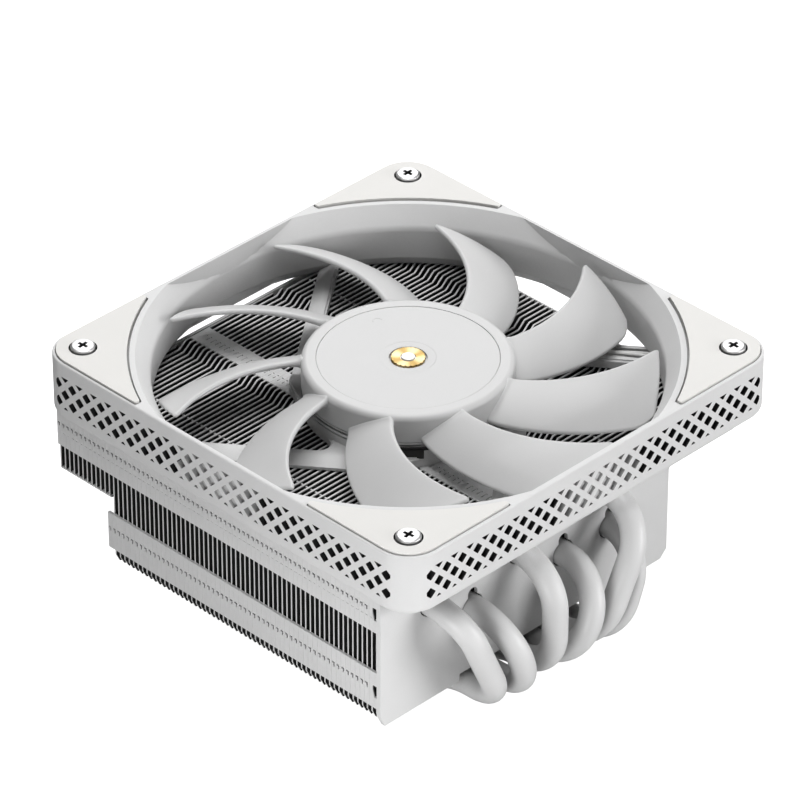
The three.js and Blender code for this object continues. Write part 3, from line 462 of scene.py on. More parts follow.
def sweep_tube(path, radius, sides):
    """Tube along a path; radius is one number or one for each point."""
    path = [Vector(p) for p in path]
    radii = radius if isinstance(radius, list) else [radius] * len(path)
    last = len(path) - 1
    tangents = [(path[min(i + 1, last)] - path[max(i - 1, 0)]).normalized() for i in range(last + 1)]
    side = tangents[0].orthogonal().normalized()
    rings = []
    for i, (point, ahead) in enumerate(zip(path, tangents)):
        if i:
            side.rotate(tangents[i - 1].rotation_difference(ahead))
        side = (side - ahead * side.dot(ahead)).normalized()
        other = ahead.cross(side)
        rings.append([point + (side * math.cos(a) + other * math.sin(a)) * radii[i] for a in angles(sides)])
    return loft(rings)


def round_edges(obj, width, segments, wanted, sharper_than=30):
    """Rounds the sharp edges that wanted(a, b) picks by their two end points."""
    work = bmesh.new()
    work.from_mesh(obj.data)
    limit = math.radians(sharper_than)
    chosen = [
        e for e in work.edges
        if len(e.link_faces) == 2 and e.calc_face_angle() > limit and wanted(e.verts[0].co, e.verts[1].co)
    ]
    bmesh.ops.bevel(work, geom=chosen, offset=width, segments=segments, affect="EDGES", clamp_overlap=True)
    work.to_mesh(obj.data)
    work.free()
    return obj


def any_edge(a, b):
    return True


def at_height(z):
    return lambda a, b: abs(a.z - z) < 1e-3 and abs(b.z - z) < 1e-3


def blend_value(a, b, share):
    return a + (b - a) * share


# ---- materials ---------------------------------------------------------------------------


class Shader:
    """A node material, new or begun before, that is put together a node at a time."""

    def __init__(self, name, material=None):
        self.material = material or bpy.data.materials.new(name)
        self.material.use_nodes = True
        self.tree = self.material.node_tree
        self.surface = self.tree.nodes["Principled BSDF"]
        self.place = self.add("ShaderNodeTexCoord").outputs["Object"]

    def add(self, kind, settings=None, **inputs):
        node = self.tree.nodes.new(kind)
        for key, value in (settings or {}).items():
            setattr(node, key, value)
        for key, value in inputs.items():
            self.feed(node.inputs[key.replace("_", " ")], value)
        return node

    def feed(self, socket, value):
        if isinstance(value, bpy.types.NodeSocket):
            self.tree.links.new(value, socket)
        else:
            socket.default_value = value

    def set(self, **inputs):
        for key, value in inputs.items():
            self.feed(self.surface.inputs[key.replace("_", " ")], value)

    def math(self, operation, a, b=0.0):
        node = self.add("ShaderNodeMath", {"operation": operation, "use_clamp": False})
        self.feed(node.inputs[0], a)
        self.feed(node.inputs[1], b)
        return node.outputs[0]

    def noise(self, scale, detail=3.0, roughness=0.55):
        return self.add("ShaderNodeTexNoise", Vector=self.place, Scale=scale, Detail=detail,
                        Roughness=roughness).outputs["Fac"]

    def between(self, value, low, high, out_low=0.0, out_high=1.0):
        node = self.add("ShaderNodeMapRange", {"clamp": True})
        for socket, number in zip(node.inputs[:5], (value, low, high, out_low, out_high)):
            self.feed(socket, number)
        return node.outputs[0]

    def mix(self, share, a, b):
        node = self.add("ShaderNodeMix", {"data_type": "RGBA"})
        self.feed(node.inputs["Factor"], share)
        self.feed(node.inputs[6], a)
        self.feed(node.inputs[7], b)
        return node.outputs[2]

    def bump(self, height, distance):
        return self.add("ShaderNodeBump", Height=height, Distance=distance, Strength=1.0).outputs["Normal"]


def shade(colour, factor):
    return tuple(c * factor for c in colour[:3]) + (1.0,)


def rgb(r, g, b):
    return (r, g, b, 1.0)


WHITE = rgb(0.82, 0.82, 0.82)
PAINTED_SHADE_REACH = 14                  # how far round a spot its neighbours cast painted shade on it


def edge_mask(shader, radius):
    """1 on edges within radius of them, 0 on the flats."""
    soft = shader.add("ShaderNodeBevel", {"samples": 4}, Radius=radius)
    true = shader.add("ShaderNodeNewGeometry")
    dot = shader.add("ShaderNodeVectorMath", {"operation": "DOT_PRODUCT"})
    shader.feed(dot.inputs[0], soft.outputs["Normal"])
    shader.feed(dot.inputs[1], true.outputs["Normal"])
    return shader.between(dot.outputs["Value"], 0.995, 0.8)


def coated(name, colour, roughness, grain_mm, grain_depth_mm,
           metallic=0.0, edge_wear_and_highlight=0.25, coat=0.0, painted_crevice_shade=0.0):
    """Powder coat, paint or moulded plastic: fine grain, slow mottling, edges made brighter, partly worn and
    partly a painted highlight, and painted shade in tight corners where asked.
    """
    shader = Shader(name)
    grain = shader.noise(1 / (grain_mm * MM), 2.0, 0.6)
    mottle = shader.noise(45.0, 4.0)
    edges = edge_mask(shader, 0.35 * MM)
    # edges made brighter: partly worn, partly a painted highlight where light catches them
    rubbed_and_highlit_edges = shader.math("MULTIPLY", edges, shader.between(shader.noise(900.0), 0.35, 0.6, 0.2, edge_wear_and_highlight))
    base = shader.mix(shader.between(mottle, 0.35, 0.65), shade(colour, 0.965), shade(colour, 1.0))
    dusted = shader.mix(shader.between(grain, 0.3, 0.7, 0.0, 0.35), base, shade(colour, 0.93))
    surface_colour = shader.mix(rubbed_and_highlit_edges, dusted, shade(colour, 1.1))
    # painted shade: the colour darkens where nearby surfaces close in round a spot
    if painted_crevice_shade:
        nearby = shader.add("ShaderNodeAmbientOcclusion", {"samples": 6}, Distance=PAINTED_SHADE_REACH * MM)
        lit = shader.between(nearby.outputs["AO"], 0.3, 0.95, 1 - painted_crevice_shade, 1.0)
        surface_colour = shader.mix(lit, rgb(0, 0, 0), surface_colour)
    shader.set(
        Base_Color=surface_colour,
        Roughness=shader.between(mottle, 0.3, 0.7, roughness - 0.05, roughness + 0.06),
        Metallic=metallic,
        Normal=shader.bump(grain, grain_depth_mm * MM),
        Coat_Weight=coat,
    )
    return shader.material


def turned_metal(name, colour, roughness, ring_mm=0.12, depth_mm=0.006):
    """Metal with fine tool marks, concentric round the cooler's upright axis."""
    shader = Shader(name)
    rings = shader.add("ShaderNodeTexWave", {"wave_type": "RINGS", "rings_direction": "Z"},
                       Vector=shader.place, Scale=1 / (ring_mm * MM * 3.2), Distortion=0.6)
    mottle = shader.noise(300.0, 4.0)
    edges = edge_mask(shader, 0.15 * MM)
    base = shader.mix(shader.between(mottle, 0.35, 0.65), shade(colour, 0.9), colour)
    # painted highlight: the colour is brighter along the edges
    shader.set(
        Base_Color=shader.mix(shader.math("MULTIPLY", edges, 0.5), base, shade(colour, 1.25)),
        Roughness=shader.between(mottle, 0.3, 0.7, roughness - 0.06, roughness + 0.1),
        Metallic=1.0,
        Normal=shader.bump(rings.outputs["Fac"], depth_mm * MM),
    )
    return shader.material


def brushed_metal(name, colour, roughness, direction="X", scale_mm=0.25, depth_mm=0.01):
    """Rolled or drawn metal: long fine scratches along one direction."""
    shader = Shader(name)
    stretch = shader.add("ShaderNodeMapping", Vector=shader.place)
    fine = 1 / (scale_mm * MM)
    scales = {"X": (fine / 40, fine, fine), "Y": (fine, fine / 40, fine), "Z": (fine, fine, fine / 40)}
    stretch.inputs["Scale"].default_value = scales[direction]
    streaks = shader.add("ShaderNodeTexNoise", Vector=stretch.outputs[0], Scale=1.0, Detail=3.0)
    streak = streaks.outputs["Fac"]
    mottle = shader.noise(120.0)
    edges = edge_mask(shader, 0.25 * MM)
    base = shader.mix(shader.between(streak, 0.3, 0.7), shade(colour, 0.82), colour)
    aged = shader.mix(shader.between(mottle, 0.4, 0.8, 0.0, 0.4), base, shade(colour, 0.8))
    # painted highlight: the colour is brighter along the edges
    shader.set(
        Base_Color=shader.mix(shader.math("MULTIPLY", edges, 0.6), aged, shade(colour, 1.3)),
        Roughness=shader.between(streak, 0.3, 0.7, roughness - 0.07, roughness + 0.1),
        Metallic=1.0,
        Normal=shader.bump(streak, depth_mm * MM),
    )
    return shader.material


def frame_coat():
    return coated("frame_coat", WHITE, 0.5, 0.14, 0.012, painted_crevice_shade=0.45)


def pad_rubber():
    return coated("pad_rubber", rgb(0.88, 0.87, 0.845), 0.62, 0.09, 0.006, edge_wear_and_highlight=0.1)


def blade_plastic():
    base = coated("blade_plastic", rgb(0.71, 0.71, 0.71), 0.42, 0.25, 0.004, edge_wear_and_highlight=0.4, coat=0.15)
    shader = Shader("blade_plastic", base)
    soft_mm = 0.6
    shader.set(Subsurface_Weight=0.12, Subsurface_Radius=(soft_mm * MM,) * 3, Subsurface_Scale=1.0)
    return shader.material


def fin_paint():
    """White on edges and tabs; the deep walls between the fins get painted shade, near black, but not the
    one under the step.
    """
    shader = Shader("fin_paint", coated("fin_paint", WHITE, 0.5, 0.2, 0.006, edge_wear_and_highlight=0.3))
    geometry = shader.add("ShaderNodeNewGeometry")
    position = shader.add("ShaderNodeSeparateXYZ", Vector=geometry.outputs["Position"])
    normal = shader.add("ShaderNodeSeparateXYZ", Vector=geometry.outputs["True Normal"])
    wall = shader.between(shader.math("ABSOLUTE", normal.outputs["X"]), 0.55, 0.75)
    faces_left = shader.math("LESS_THAN", normal.outputs["X"], 0)
    exposed_x = STEP_X + FIN_PITCH + 0.35
    past_step = shader.math("LESS_THAN", position.outputs["X"], exposed_x * MM)
    below_step = shader.math("LESS_THAN", position.outputs["Z"], STEP_BOTTOM * MM)
    exposed = shader.math("MULTIPLY", faces_left, shader.math("MULTIPLY", past_step, below_step))
    wall = shader.math("MULTIPLY", wall, shader.math("SUBTRACT", 1, exposed))
    below_top = shader.math("SUBTRACT", fin_high.z * MM, position.outputs["Z"])
    behind_front = shader.math("SUBTRACT", position.outputs["Y"], fin_low.y * MM)
    before_back = shader.math("SUBTRACT", fin_high.y * MM, position.outputs["Y"])
    nearest = shader.math("MINIMUM", below_top, shader.math("MINIMUM", behind_front, before_back))
    depth = shader.between(nearest, 0.04 * MM, 0.36 * MM)
    lit = shader.surface.inputs["Base Color"].links[0].from_socket
    # painted shade: fin walls more than 0.36 mm from the top, the front and the back turn near black
    shader.set(Base_Color=shader.mix(shader.math("MULTIPLY", wall, depth), lit, rgb(0.012, 0.012, 0.012)))
    return shader.material


def pipe_paint():
    return coated("pipe_paint", rgb(0.82, 0.82, 0.82), 0.42, 0.3, 0.006, edge_wear_and_highlight=0.2, coat=0.1, painted_crevice_shade=0.5)


def painted_pocket_shade():
    """Painted shade: near black, it stands for hollows that hardly any light reaches."""
    return coated("painted_pocket_shade", rgb(0.03, 0.03, 0.03), 0.6, 0.3, 0.01, edge_wear_and_highlight=0.0)


# painted shade: dark steel that stands for the shade down inside the fan screws' cross recesses
def painted_recess_shade():
    return coated("painted_recess_shade", rgb(0.07, 0.07, 0.07), 0.5, 0.1, 0.01, metallic=0.4, edge_wear_and_highlight=0.3)


def plate_paint():
    return coated("plate_paint", WHITE, 0.48, 0.18, 0.008, painted_crevice_shade=0.3)


def badge_brass():
    """Spun brass: anisotropic sheen, and a sheen painted into its colour in soft sectors that fan out from
    the middle.
    """
    shader = Shader("badge_brass")
    tangent = shader.add("ShaderNodeTangent", {"direction_type": "RADIAL", "axis": "Z"})
    offset = shader.add("ShaderNodeMapping", Vector=shader.place)
    offset.inputs["Location"].default_value = (-FAN.x * MM, -FAN.y * MM, 0)
    rings = shader.add("ShaderNodeTexWave", {"wave_type": "RINGS", "rings_direction": "Z"},
                       Vector=offset.outputs[0], Scale=2600.0, Distortion=0.8)
    round_angle = shader.add("ShaderNodeTexGradient", {"gradient_type": "RADIAL"}, Vector=offset.outputs[0])
    # painted sheen: the colour runs between dark and light gold in soft sectors round the middle
    painted_sheen_wedges = shader.math("SINE", shader.math("MULTIPLY", round_angle.outputs["Fac"], 8 * math.pi))
    mottle = shader.noise(800.0)
    sheen_and_mottle = shader.math("ADD", painted_sheen_wedges, shader.between(mottle, 0.3, 0.7, -0.25, 0.25))
    dark_gold, light_gold = rgb(0.50, 0.34, 0.12), rgb(0.90, 0.72, 0.40)
    shader.set(
        Base_Color=shader.mix(shader.between(sheen_and_mottle, -0.9, 0.9), dark_gold, light_gold),
        Metallic=1.0,
        Roughness=0.38,
        Anisotropic=0.8,
        Tangent=tangent.outputs[0],
        Normal=shader.bump(rings.outputs["Fac"], 0.003 * MM),
    )
    return shader.material


def bronze():
    return coated("sleeve_bronze", rgb(0.50, 0.34, 0.16), 0.5, 0.12, 0.02, metallic=0.85)


def ferrite():
    return coated("magnet_ferrite", rgb(0.045, 0.045, 0.05), 0.65, 0.1, 0.02, metallic=0.1, edge_wear_and_highlight=0.8)


def copper_wire():
    return brushed_metal("coil_copper", rgb(0.72, 0.30, 0.13), 0.3, "Z", 0.2, 0.006)


def circuit_board():
    return coated("board_green", rgb(0.02, 0.16, 0.06), 0.4, 0.35, 0.01, edge_wear_and_highlight=0.9, coat=0.4)


def cable_sleeve():
    return coated("cable_white", rgb(0.74, 0.74, 0.73), 0.55, 0.2, 0.015)


MATERIALS = {
    "frame_plastic": frame_coat(),
    "pad_rubber": pad_rubber(),
    "blade_plastic": blade_plastic(),
    "badge_brass": badge_brass(),
    "screw_steel": turned_metal("screw_steel", rgb(0.82, 0.82, 0.82), 0.42),
    "spring_steel": brushed_metal("spring_steel", rgb(0.60, 0.61, 0.63), 0.3, "Z"),
    "bar_steel": brushed_metal("bar_steel", rgb(0.66, 0.67, 0.69), 0.34, "Y"),
    "motor_steel": brushed_metal("motor_steel", rgb(0.42, 0.43, 0.45), 0.4, "Z"),
    "magnet_ferrite": ferrite(),
    "sleeve_bronze": bronze(),
    "coil_copper": copper_wire(),
    "board_green": circuit_board(),
    "cable_white": cable_sleeve(),
    "fin_paint": fin_paint(),
    "pipe_paint": pipe_paint(),
    "plate_nickel": turned_metal("plate_nickel", rgb(0.72, 0.70, 0.67), 0.22, 0.3, 0.004),
}
PLATE_PAINT = plate_paint()
PAINTED_POCKET_SHADE = painted_pocket_shade()
PAINTED_RECESS_SHADE = painted_recess_shade()

SLOT_OF = {entry["node"]: entry["material_slot"] for entry in frame["record"]["subparts"]}
BODY_OF = {node: body for body, nodes in frame["record"]["behaviour"]["bodies"].items() for node in nodes}


def finish_piece(obj, node, origin=ORIGIN, material=None, sharp=34):
    """Turns a solid in millimetres into the visible piece that stands for a CAD node."""
    place(obj, Matrix.Scale(MM, 4) @ Matrix.Translation(origin))
    obj.name = f"{node}_visual"
    work = bmesh.new()
    work.from_mesh(obj.data)
    bmesh.ops.dissolve_degenerate(work, dist=1e-7, edges=work.edges)
    for face in work.faces:
        face.smooth = True
    for edge in work.edges:
        edge.smooth = len(edge.link_faces) == 2 and edge.calc_face_angle() < math.radians(sharp)
    work.to_mesh(obj.data)
    work.free()
    weighted = obj.modifiers.new("weighted_normals", "WEIGHTED_NORMAL")
    weighted.keep_sharp = True
    slot = SLOT_OF[node]
    obj.data.materials.clear()
    obj.data.materials.append(material or MATERIALS[slot])
    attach(obj, BODY_OF[node])
    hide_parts(node)
    return obj


# ---- fan frame ---------------------------------------------------------------------------


def frame_blank():
    """Square block with round upright corners, a round bottom edge and a lightly broken top edge."""
    levels = []
    for k in range(7):
        a = math.radians(15 * k)
        inset = FRAME_BOTTOM_FILLET * (1 - math.sin(a))
        levels.append((inset, FRAME_BOTTOM + FRAME_BOTTOM_FILLET * (1 - math.cos(a))))
    for k in range(5):
        a = math.radians(22.5 * k)
        inset = FRAME_TOP_FILLET * (1 - math.cos(a))
        levels.append((inset, FRAME_TOP - FRAME_TOP_FILLET * (1 - math.sin(a))))
    rings = []
    for inset, z in levels:
        half = FRAME_HALF - inset
        rings.append([(x, y, z) for x, y in round_rectangle(half, half, FRAME_CORNER_R - inset, 12)])
    return loft(rings)


def duct_opening():
    """The air's way through: bell at the top, straight duct, chamfer at the bottom."""
    over = 2
    funnel = turned([
        (0, FRAME_BOTTOM - over, 0), (DUCT_CHAMFER_R, FRAME_BOTTOM - over, 0),
        (DUCT_CHAMFER_R, FRAME_BOTTOM, 0), (DUCT_R, DUCT_CHAMFER_TOP, 0.8), (DUCT_R, BELL_BOTTOM, 3),
        (BELL_R, FRAME_TOP, 0), (BELL_R, FRAME_TOP + over, 0), (0, FRAME_TOP + over, 0),
    ], 192)
    return common(funnel, square_column(BELL_FLAT, FRAME_BOTTOM - 2 * over, FRAME_TOP + 2 * over))


def corner_pocket():
    """Hollow between the duct and the outer walls, round the four screw bosses."""
    inside = FRAME_HALF - WALL
    pocket = prism(round_rectangle(inside, inside, FRAME_CORNER_R - WALL), POCKET_BOTTOM, POCKET_TOP)
    over = 1
    keep = [post(0, 0, POCKET_BOTTOM - over, POCKET_TOP + over, DUCT_R + DUCT_WALL, 192)]
    for sx in (-1, 1):
        for sy in (-1, 1):
            boss = post(sx * SCREW_REACH, sy * SCREW_REACH, POCKET_BOTTOM - over, POCKET_TOP + over, BOSS_R)
            keep.append(boss)
    return cut(pocket, *keep)


def side_mesh():
    """Cutters for the diamond mesh of all four sides."""
    low_y = -FRAME_HALF - 2
    high_y = -FRAME_HALF + 4
    half_pitch = MESH_PITCH / 2
    diamonds = []
    for row in range(-2, 3):
        z = MESH_MIDDLE + row * half_pitch
        odd = row % 2 == 0
        columns = range(-MESH_COLUMNS, MESH_COLUMNS) if odd else range(-MESH_COLUMNS, MESH_COLUMNS + 1)
        for column in columns:
            x = column * MESH_PITCH + (half_pitch if odd else 0)
            corners = [(x + dx * MESH_HOLE, z + dz * MESH_HOLE, 0.22) for dx, dz in
                       ((1, 0), (0, 1), (-1, 0), (0, -1))]
            outline = rounded_outline(corners, 2)
            diamonds.append(prism_along_y(outline, low_y, high_y))
    band_corners = [
        (-MESH_BAND_HALF, MESH_BAND_BOTTOM, 0.8), (MESH_BAND_HALF, MESH_BAND_BOTTOM, 0.8),
        (MESH_BAND_HALF, MESH_BAND_TOP, 0.8), (-MESH_BAND_HALF, MESH_BAND_TOP, 0.8),
    ]
    band = rounded_outline(band_corners, 4)
    limit = prism_along_y(band, low_y - 1, high_y + 1)
    side = common(gather(diamonds), limit)
    all_sides = round_axis(side, 4)
    behind_bell = lathe([
        (0, FRAME_BOTTOM), (MESH_FLOOR_R, FRAME_BOTTOM), (MESH_FLOOR_R, BELL_BOTTOM - 0.3),
        (BELL_R + 0.6, FRAME_TOP), (0, FRAME_TOP),
    ], 192)
    return cut(all_sides, common(behind_bell, square_column(MESH_FLOOR_R, FRAME_BOTTOM - 1, FRAME_TOP + 1)))


def pad_outline(grow, groove):
    """Triangular inlay with a hollow long side, in the +X +Y corner."""
    edge = PAD_EDGE + grow
    tip = PAD_TIP - grow
    arc_r = PAD_ARC_R - groove
    end = math.asin(tip / arc_r)
    corners = [(edge, tip, PAD_TIP_R), (edge, edge, PAD_CORNER_R + grow), (tip, edge, PAD_TIP_R)]
    steps = 28
    for k in range(steps + 1):
        a = blend_value(math.pi / 2 - end, end, k / steps)
        corners.append((arc_r * math.cos(a), arc_r * math.sin(a), PAD_TIP_R if k in (0, steps) else 0))
    return rounded_outline(corners, 8)


def motor_cup():
    groove = 0.35
    lip = CUP_RIM - 0.55
    return turned([
        (0, FRAME_BOTTOM, 0), (CUP_R, FRAME_BOTTOM, 0.7), (CUP_R, lip - 0.5, 0.1),
        (CUP_R - groove, lip - 0.35, 0.1), (CUP_R - groove, lip - 0.1, 0), (CUP_R + 0.1, lip, 0.1),
        (CUP_R + 0.1, CUP_RIM, 0.15), (CUP_R - CUP_WALL, CUP_RIM, 0.15), (CUP_R - CUP_WALL, CUP_FLOOR, 0.4),
        (TUBE_R, CUP_FLOOR, 0.4), (TUBE_R, TUBE_TOP, 0.15), (TUBE_BORE_R, TUBE_TOP, 0.15),
        (TUBE_BORE_R, CUP_FLOOR, 0), (0, CUP_FLOOR, 0),
    ], 128, 3)


def strut(index):
    """Bar from the motor cup to the duct wall, flowing out of the cup on one side."""
    carries_cable = index == CABLE_STRUT
    inner = CABLE_STRUT_INNER if carries_cable else STRUT_INNER
    reach = math.sqrt(DUCT_R ** 2 - inner ** 2) + 0.5
    fillet_y = inner - STRUT_FILLET
    fillet_x = math.sqrt((CUP_R + STRUT_FILLET) ** 2 - fillet_y ** 2)
    meet = math.atan2(fillet_y, fillet_x)
    steps = 8
    hollow = []
    for k in range(steps + 1):
        a = blend_value(math.pi / 2, math.pi + meet, k / steps)
        hollow.append((fillet_x + STRUT_FILLET * math.cos(a), fillet_y + STRUT_FILLET * math.sin(a)))
    flow = [(-13, 18, 0), (-9.5, 22.2, 3), (2.5, STRUT_OUTER, 9), (reach, STRUT_OUTER, 0)]
    flow = rounded_outline(flow, 8)
    plan = flow + [(reach, inner)] + hollow + [(12, 12)]
    bar = round_edges(prism(plan, FRAME_BOTTOM, STRUT_TOP), 0.5, 3, at_height(STRUT_TOP), 20)
    if carries_cable:
        channel = block(2, reach - 2.5, CHANNEL[0], CHANNEL[1], CHANNEL_FLOOR, STRUT_TOP + 1)
        bar = cut(bar, channel)
    else:
        above = rounded_outline([
            (STRUT_RIDGE, STRUT_TOP, 0), (STRUT_OUTER - 0.4, STRUT_OUTER_TOP, 0),
            (STRUT_OUTER + 1, STRUT_OUTER_TOP - 0.8, 0), (STRUT_OUTER + 1, STRUT_TOP + 1, 0),
            (STRUT_RIDGE, STRUT_TOP + 1, 0),
        ])
        bar = cut(bar, prism_along_x(above, STRUT_SLOPE_START, reach + 1))
    return turn(bar, STRUT_ANGLE + 90 * index)


def fan_frame():
    body = cut(frame_blank(), duct_opening(), corner_pocket())
    body = cut(body, side_mesh())
    cup_room = post(0, 0, CUP_FLOOR, STRUT_TOP + 2, CUP_R - CUP_WALL, 128)
    struts = cut(gather([strut(k) for k in range(4)]), cup_room)
    body = unite(body, struts, motor_cup())
    recess = prism(pad_outline(PAD_SEAT_GAP, PAD_GROOVE), -PAD_THICKNESS - 0.3, 1)
    hole = post(SCREW_REACH, SCREW_REACH, FRAME_BOTTOM - 1, 0, SCREW_HOLE_R)
    seats = round_axis(unite(recess, hole), 4)
    cable_way = sweep_tube(cable_path()[:CABLE_IN_FRAME], CABLE_R + 0.4, 16)
    body = cut(body, seats, cable_way)
    piece = finish_piece(body, "fan_frame", FAN)
    darken_pockets(piece)
    return piece


def darken_pockets(piece):
    """The mesh holes' walls and the hollows behind them get painted shade, a near-black second material."""
    piece.data.materials.append(PAINTED_POCKET_SHADE)
    flat = FRAME_HALF - FRAME_CORNER_R
    slack = 0.05
    for face in piece.data.polygons:
        spot = face.center / MM - FAN
        from_middle = min(abs(spot.x), abs(spot.y))
        depth = FRAME_HALF - max(abs(spot.x), abs(spot.y))
        along = abs(face.normal.x if abs(spot.x) > abs(spot.y) else face.normal.y)
        if slack < depth < WALL + slack and along < 0.3 and from_middle > LIT_MESH_HALF:
            face.material_index = int(POCKET_BOTTOM < spot.z < POCKET_TOP)
            continue
        past = Vector((max(abs(spot.x) - flat, 0), max(abs(spot.y) - flat, 0)))
        inside = past.length < FRAME_CORNER_R - WALL + slack
        level = POCKET_BOTTOM - slack < spot.z < POCKET_TOP + slack
        if not (inside and level):
            continue
        outward = face.normal.xy.dot(spot.xy.normalized()) > 0.3
        behind = outward and depth > 0.3 and from_middle > LIT_MESH_HALF
        if behind or spot.xy.length > DUCT_R + DUCT_WALL - 2 * slack:
            face.material_index = 1
    darken_screw_holes(piece)


def darken_screw_holes(piece):
    """The wells round the fan screws' heads get painted shade too, but not their rounded rims."""
    rim = 0.22
    for face in piece.data.polygons:
        spot = face.center / MM - FAN
        off_axis = Vector((abs(spot.x) - SCREW_REACH, abs(spot.y) - SCREW_REACH))
        if off_axis.length < PAD_HOLE_R + 0.1 and spot.z < -rim:
            face.material_index = 1


def along_hollow_side(a, b):
    near = PAD_ARC_R + 0.3
    return abs(a.z) < 1e-3 and abs(b.z) < 1e-3 and a.xy.length < near and b.xy.length < near


def corner_pads():
    for k, name in enumerate(CORNERS):
        pad = prism(pad_outline(0, 0), -PAD_THICKNESS, 0)
        pad = round_edges(pad, 0.55, 4, along_hollow_side, 50)
        pad = cut(pad, post(SCREW_REACH, SCREW_REACH, -PAD_THICKNESS - 1, 1, PAD_HOLE_R, 64))
        pad = round_edges(pad, 0.2, 3, at_height(0), 50)
        piece = finish_piece(turn(pad, 90 * k), f"corner_pad_{name}", FAN)
        # painted shade in the well round the fan screw's head
        piece.data.materials.append(PAINTED_POCKET_SHADE)
        darken_screw_holes(piece)


# ---- fasteners ---------------------------------------------------------------------------


def threaded_shank(radius, low, high, pitch, sides=24):
    """Shank whose surface rises and falls along a helix."""
    depth = 0.45 * pitch
    per_turn = 6                        # rings of points in one turn of the thread
    count = max(2, round((high - low) / pitch * per_turn))
    rings = []
    for level in range(count + 1):
        z = blend_value(low, high, level / count)
        fade = min(1.0, (z - low) / pitch, (high - z) / pitch)
        ring = []
        for a in angles(sides):
            phase = (z / pitch - a / (2 * math.pi)) % 1
            crest = abs(2 * phase - 1)
            r = radius - depth * (1 - crest * fade)
            ring.append((r * math.cos(a), r * math.sin(a), z))
        rings.append(ring)
    return loft(rings)


def cross_recess(top, reach, depth):
    """Tapered cross-shaped cutter, widest at the top; reach is half the cross's width there."""
    slimness = 0.31
    arms = []
    for swap in (False, True):
        rings = []
        for z, share in ((top - depth, 0.55), (top + 0.3, 1.05)):
            long = reach * share
            thin = reach * slimness * share
            dx, dy = (thin, long) if swap else (long, thin)
            rings.append([(dx, -dy, z), (dx, dy, z), (-dx, dy, z), (-dx, -dy, z)])
        arms.append(loft(rings))
    return unite(arms[0], arms[1])


def pan_screw(head_r, head_height, length):
    """Pan head with a cross recess on a threaded shank; the head's seat is at height 0."""
    head = turned([
        (0, 0, 0), (head_r, 0, 0.12), (head_r, head_height * 0.62, head_r * 0.16),
        (head_r * 0.72, head_height * 0.94, head_r * 0.3), (0, head_height, 0),
    ], 56, 6)
    head = cut(head, cross_recess(head_height, head_r * 0.58, head_height * 0.7))
    shank_r, pitch = 1.3, 0.5
    return unite(head, threaded_shank(shank_r, -length, head_height * 0.3, pitch))


def base_screws():
    for name in CORNERS:
        node = f"base_screw_{name}"
        finish_piece(pan_screw(2.5, 1.3, 6.5), node, on_top(node, 1.3))
    for name in SIDES:
        node = f"bar_screw_{name}"
        finish_piece(pan_screw(2.6, 1.7, 9.5), node, on_top(node, 1.7))


def fan_screws():
    """Low cylinder heads with a lightly crowned top and a wide cross, with painted shade inside it."""
    height, head_r = 2.3, 2.85
    cross_reach, cross_depth = 1.42, 1.5
    for k, name in enumerate(CORNERS):
        node = f"fan_screw_{name}"
        low, high = box_mm(node)
        head = turned([
            (0, 0, 0), (head_r, 0, 0.15), (head_r, height - 0.3, 0.25), (head_r - 0.4, height - 0.04, 0.4),
            (0, height, 0),
        ], 72, 6)
        head = cut(head, cross_recess(height, cross_reach, cross_depth))
        fixing = unite(head, threaded_shank(1.6, low.z - high.z + height, 0.5, 0.7))
        piece = finish_piece(turn(fixing, 3 * k), node, on_top(node, height))
        darken_recess(piece, on_top(node, 0), cross_reach, cross_depth)


def darken_recess(piece, top, reach, depth):
    """The faces down inside the cross get painted shade."""
    piece.data.materials.append(PAINTED_RECESS_SHADE)
    for face in piece.data.polygons:
        spot = face.center / MM - top
        if -depth - 0.1 < spot.z < -0.1 and spot.xy.length < reach * 1.2:
            face.material_index = 1


# ---- rotor -------------------------------------------------------------------------------


def blade_point(u, v):
    """Middle surface of the blade: u runs root to tip, v leading to trailing edge."""
    radius = blend_value(BLADE_ROOT_R, BLADE_TIP_R, u)
    lead = blend_value(*LEAD_ANGLES, max(u, 0) ** LEAD_SWEEP)
    trail = blend_value(*TRAIL_ANGLES, u)
    angle = math.radians(blend_value(lead, trail, v))
    height = blend_value(blend_value(*LEAD_LEVELS, u), blend_value(*TRAIL_LEVELS, u), v)
    camber = BLADE_CAMBER * 4 * v * (1 - v)
    return Vector((radius * math.cos(angle), radius * math.sin(angle), height + camber))


def corner_inset(from_tip, radius):
    """How far a round corner draws the edge in, at a distance from the tip."""
    if from_tip >= radius:
        return 0.0
    return radius - math.sqrt(radius ** 2 - (radius - from_tip) ** 2)


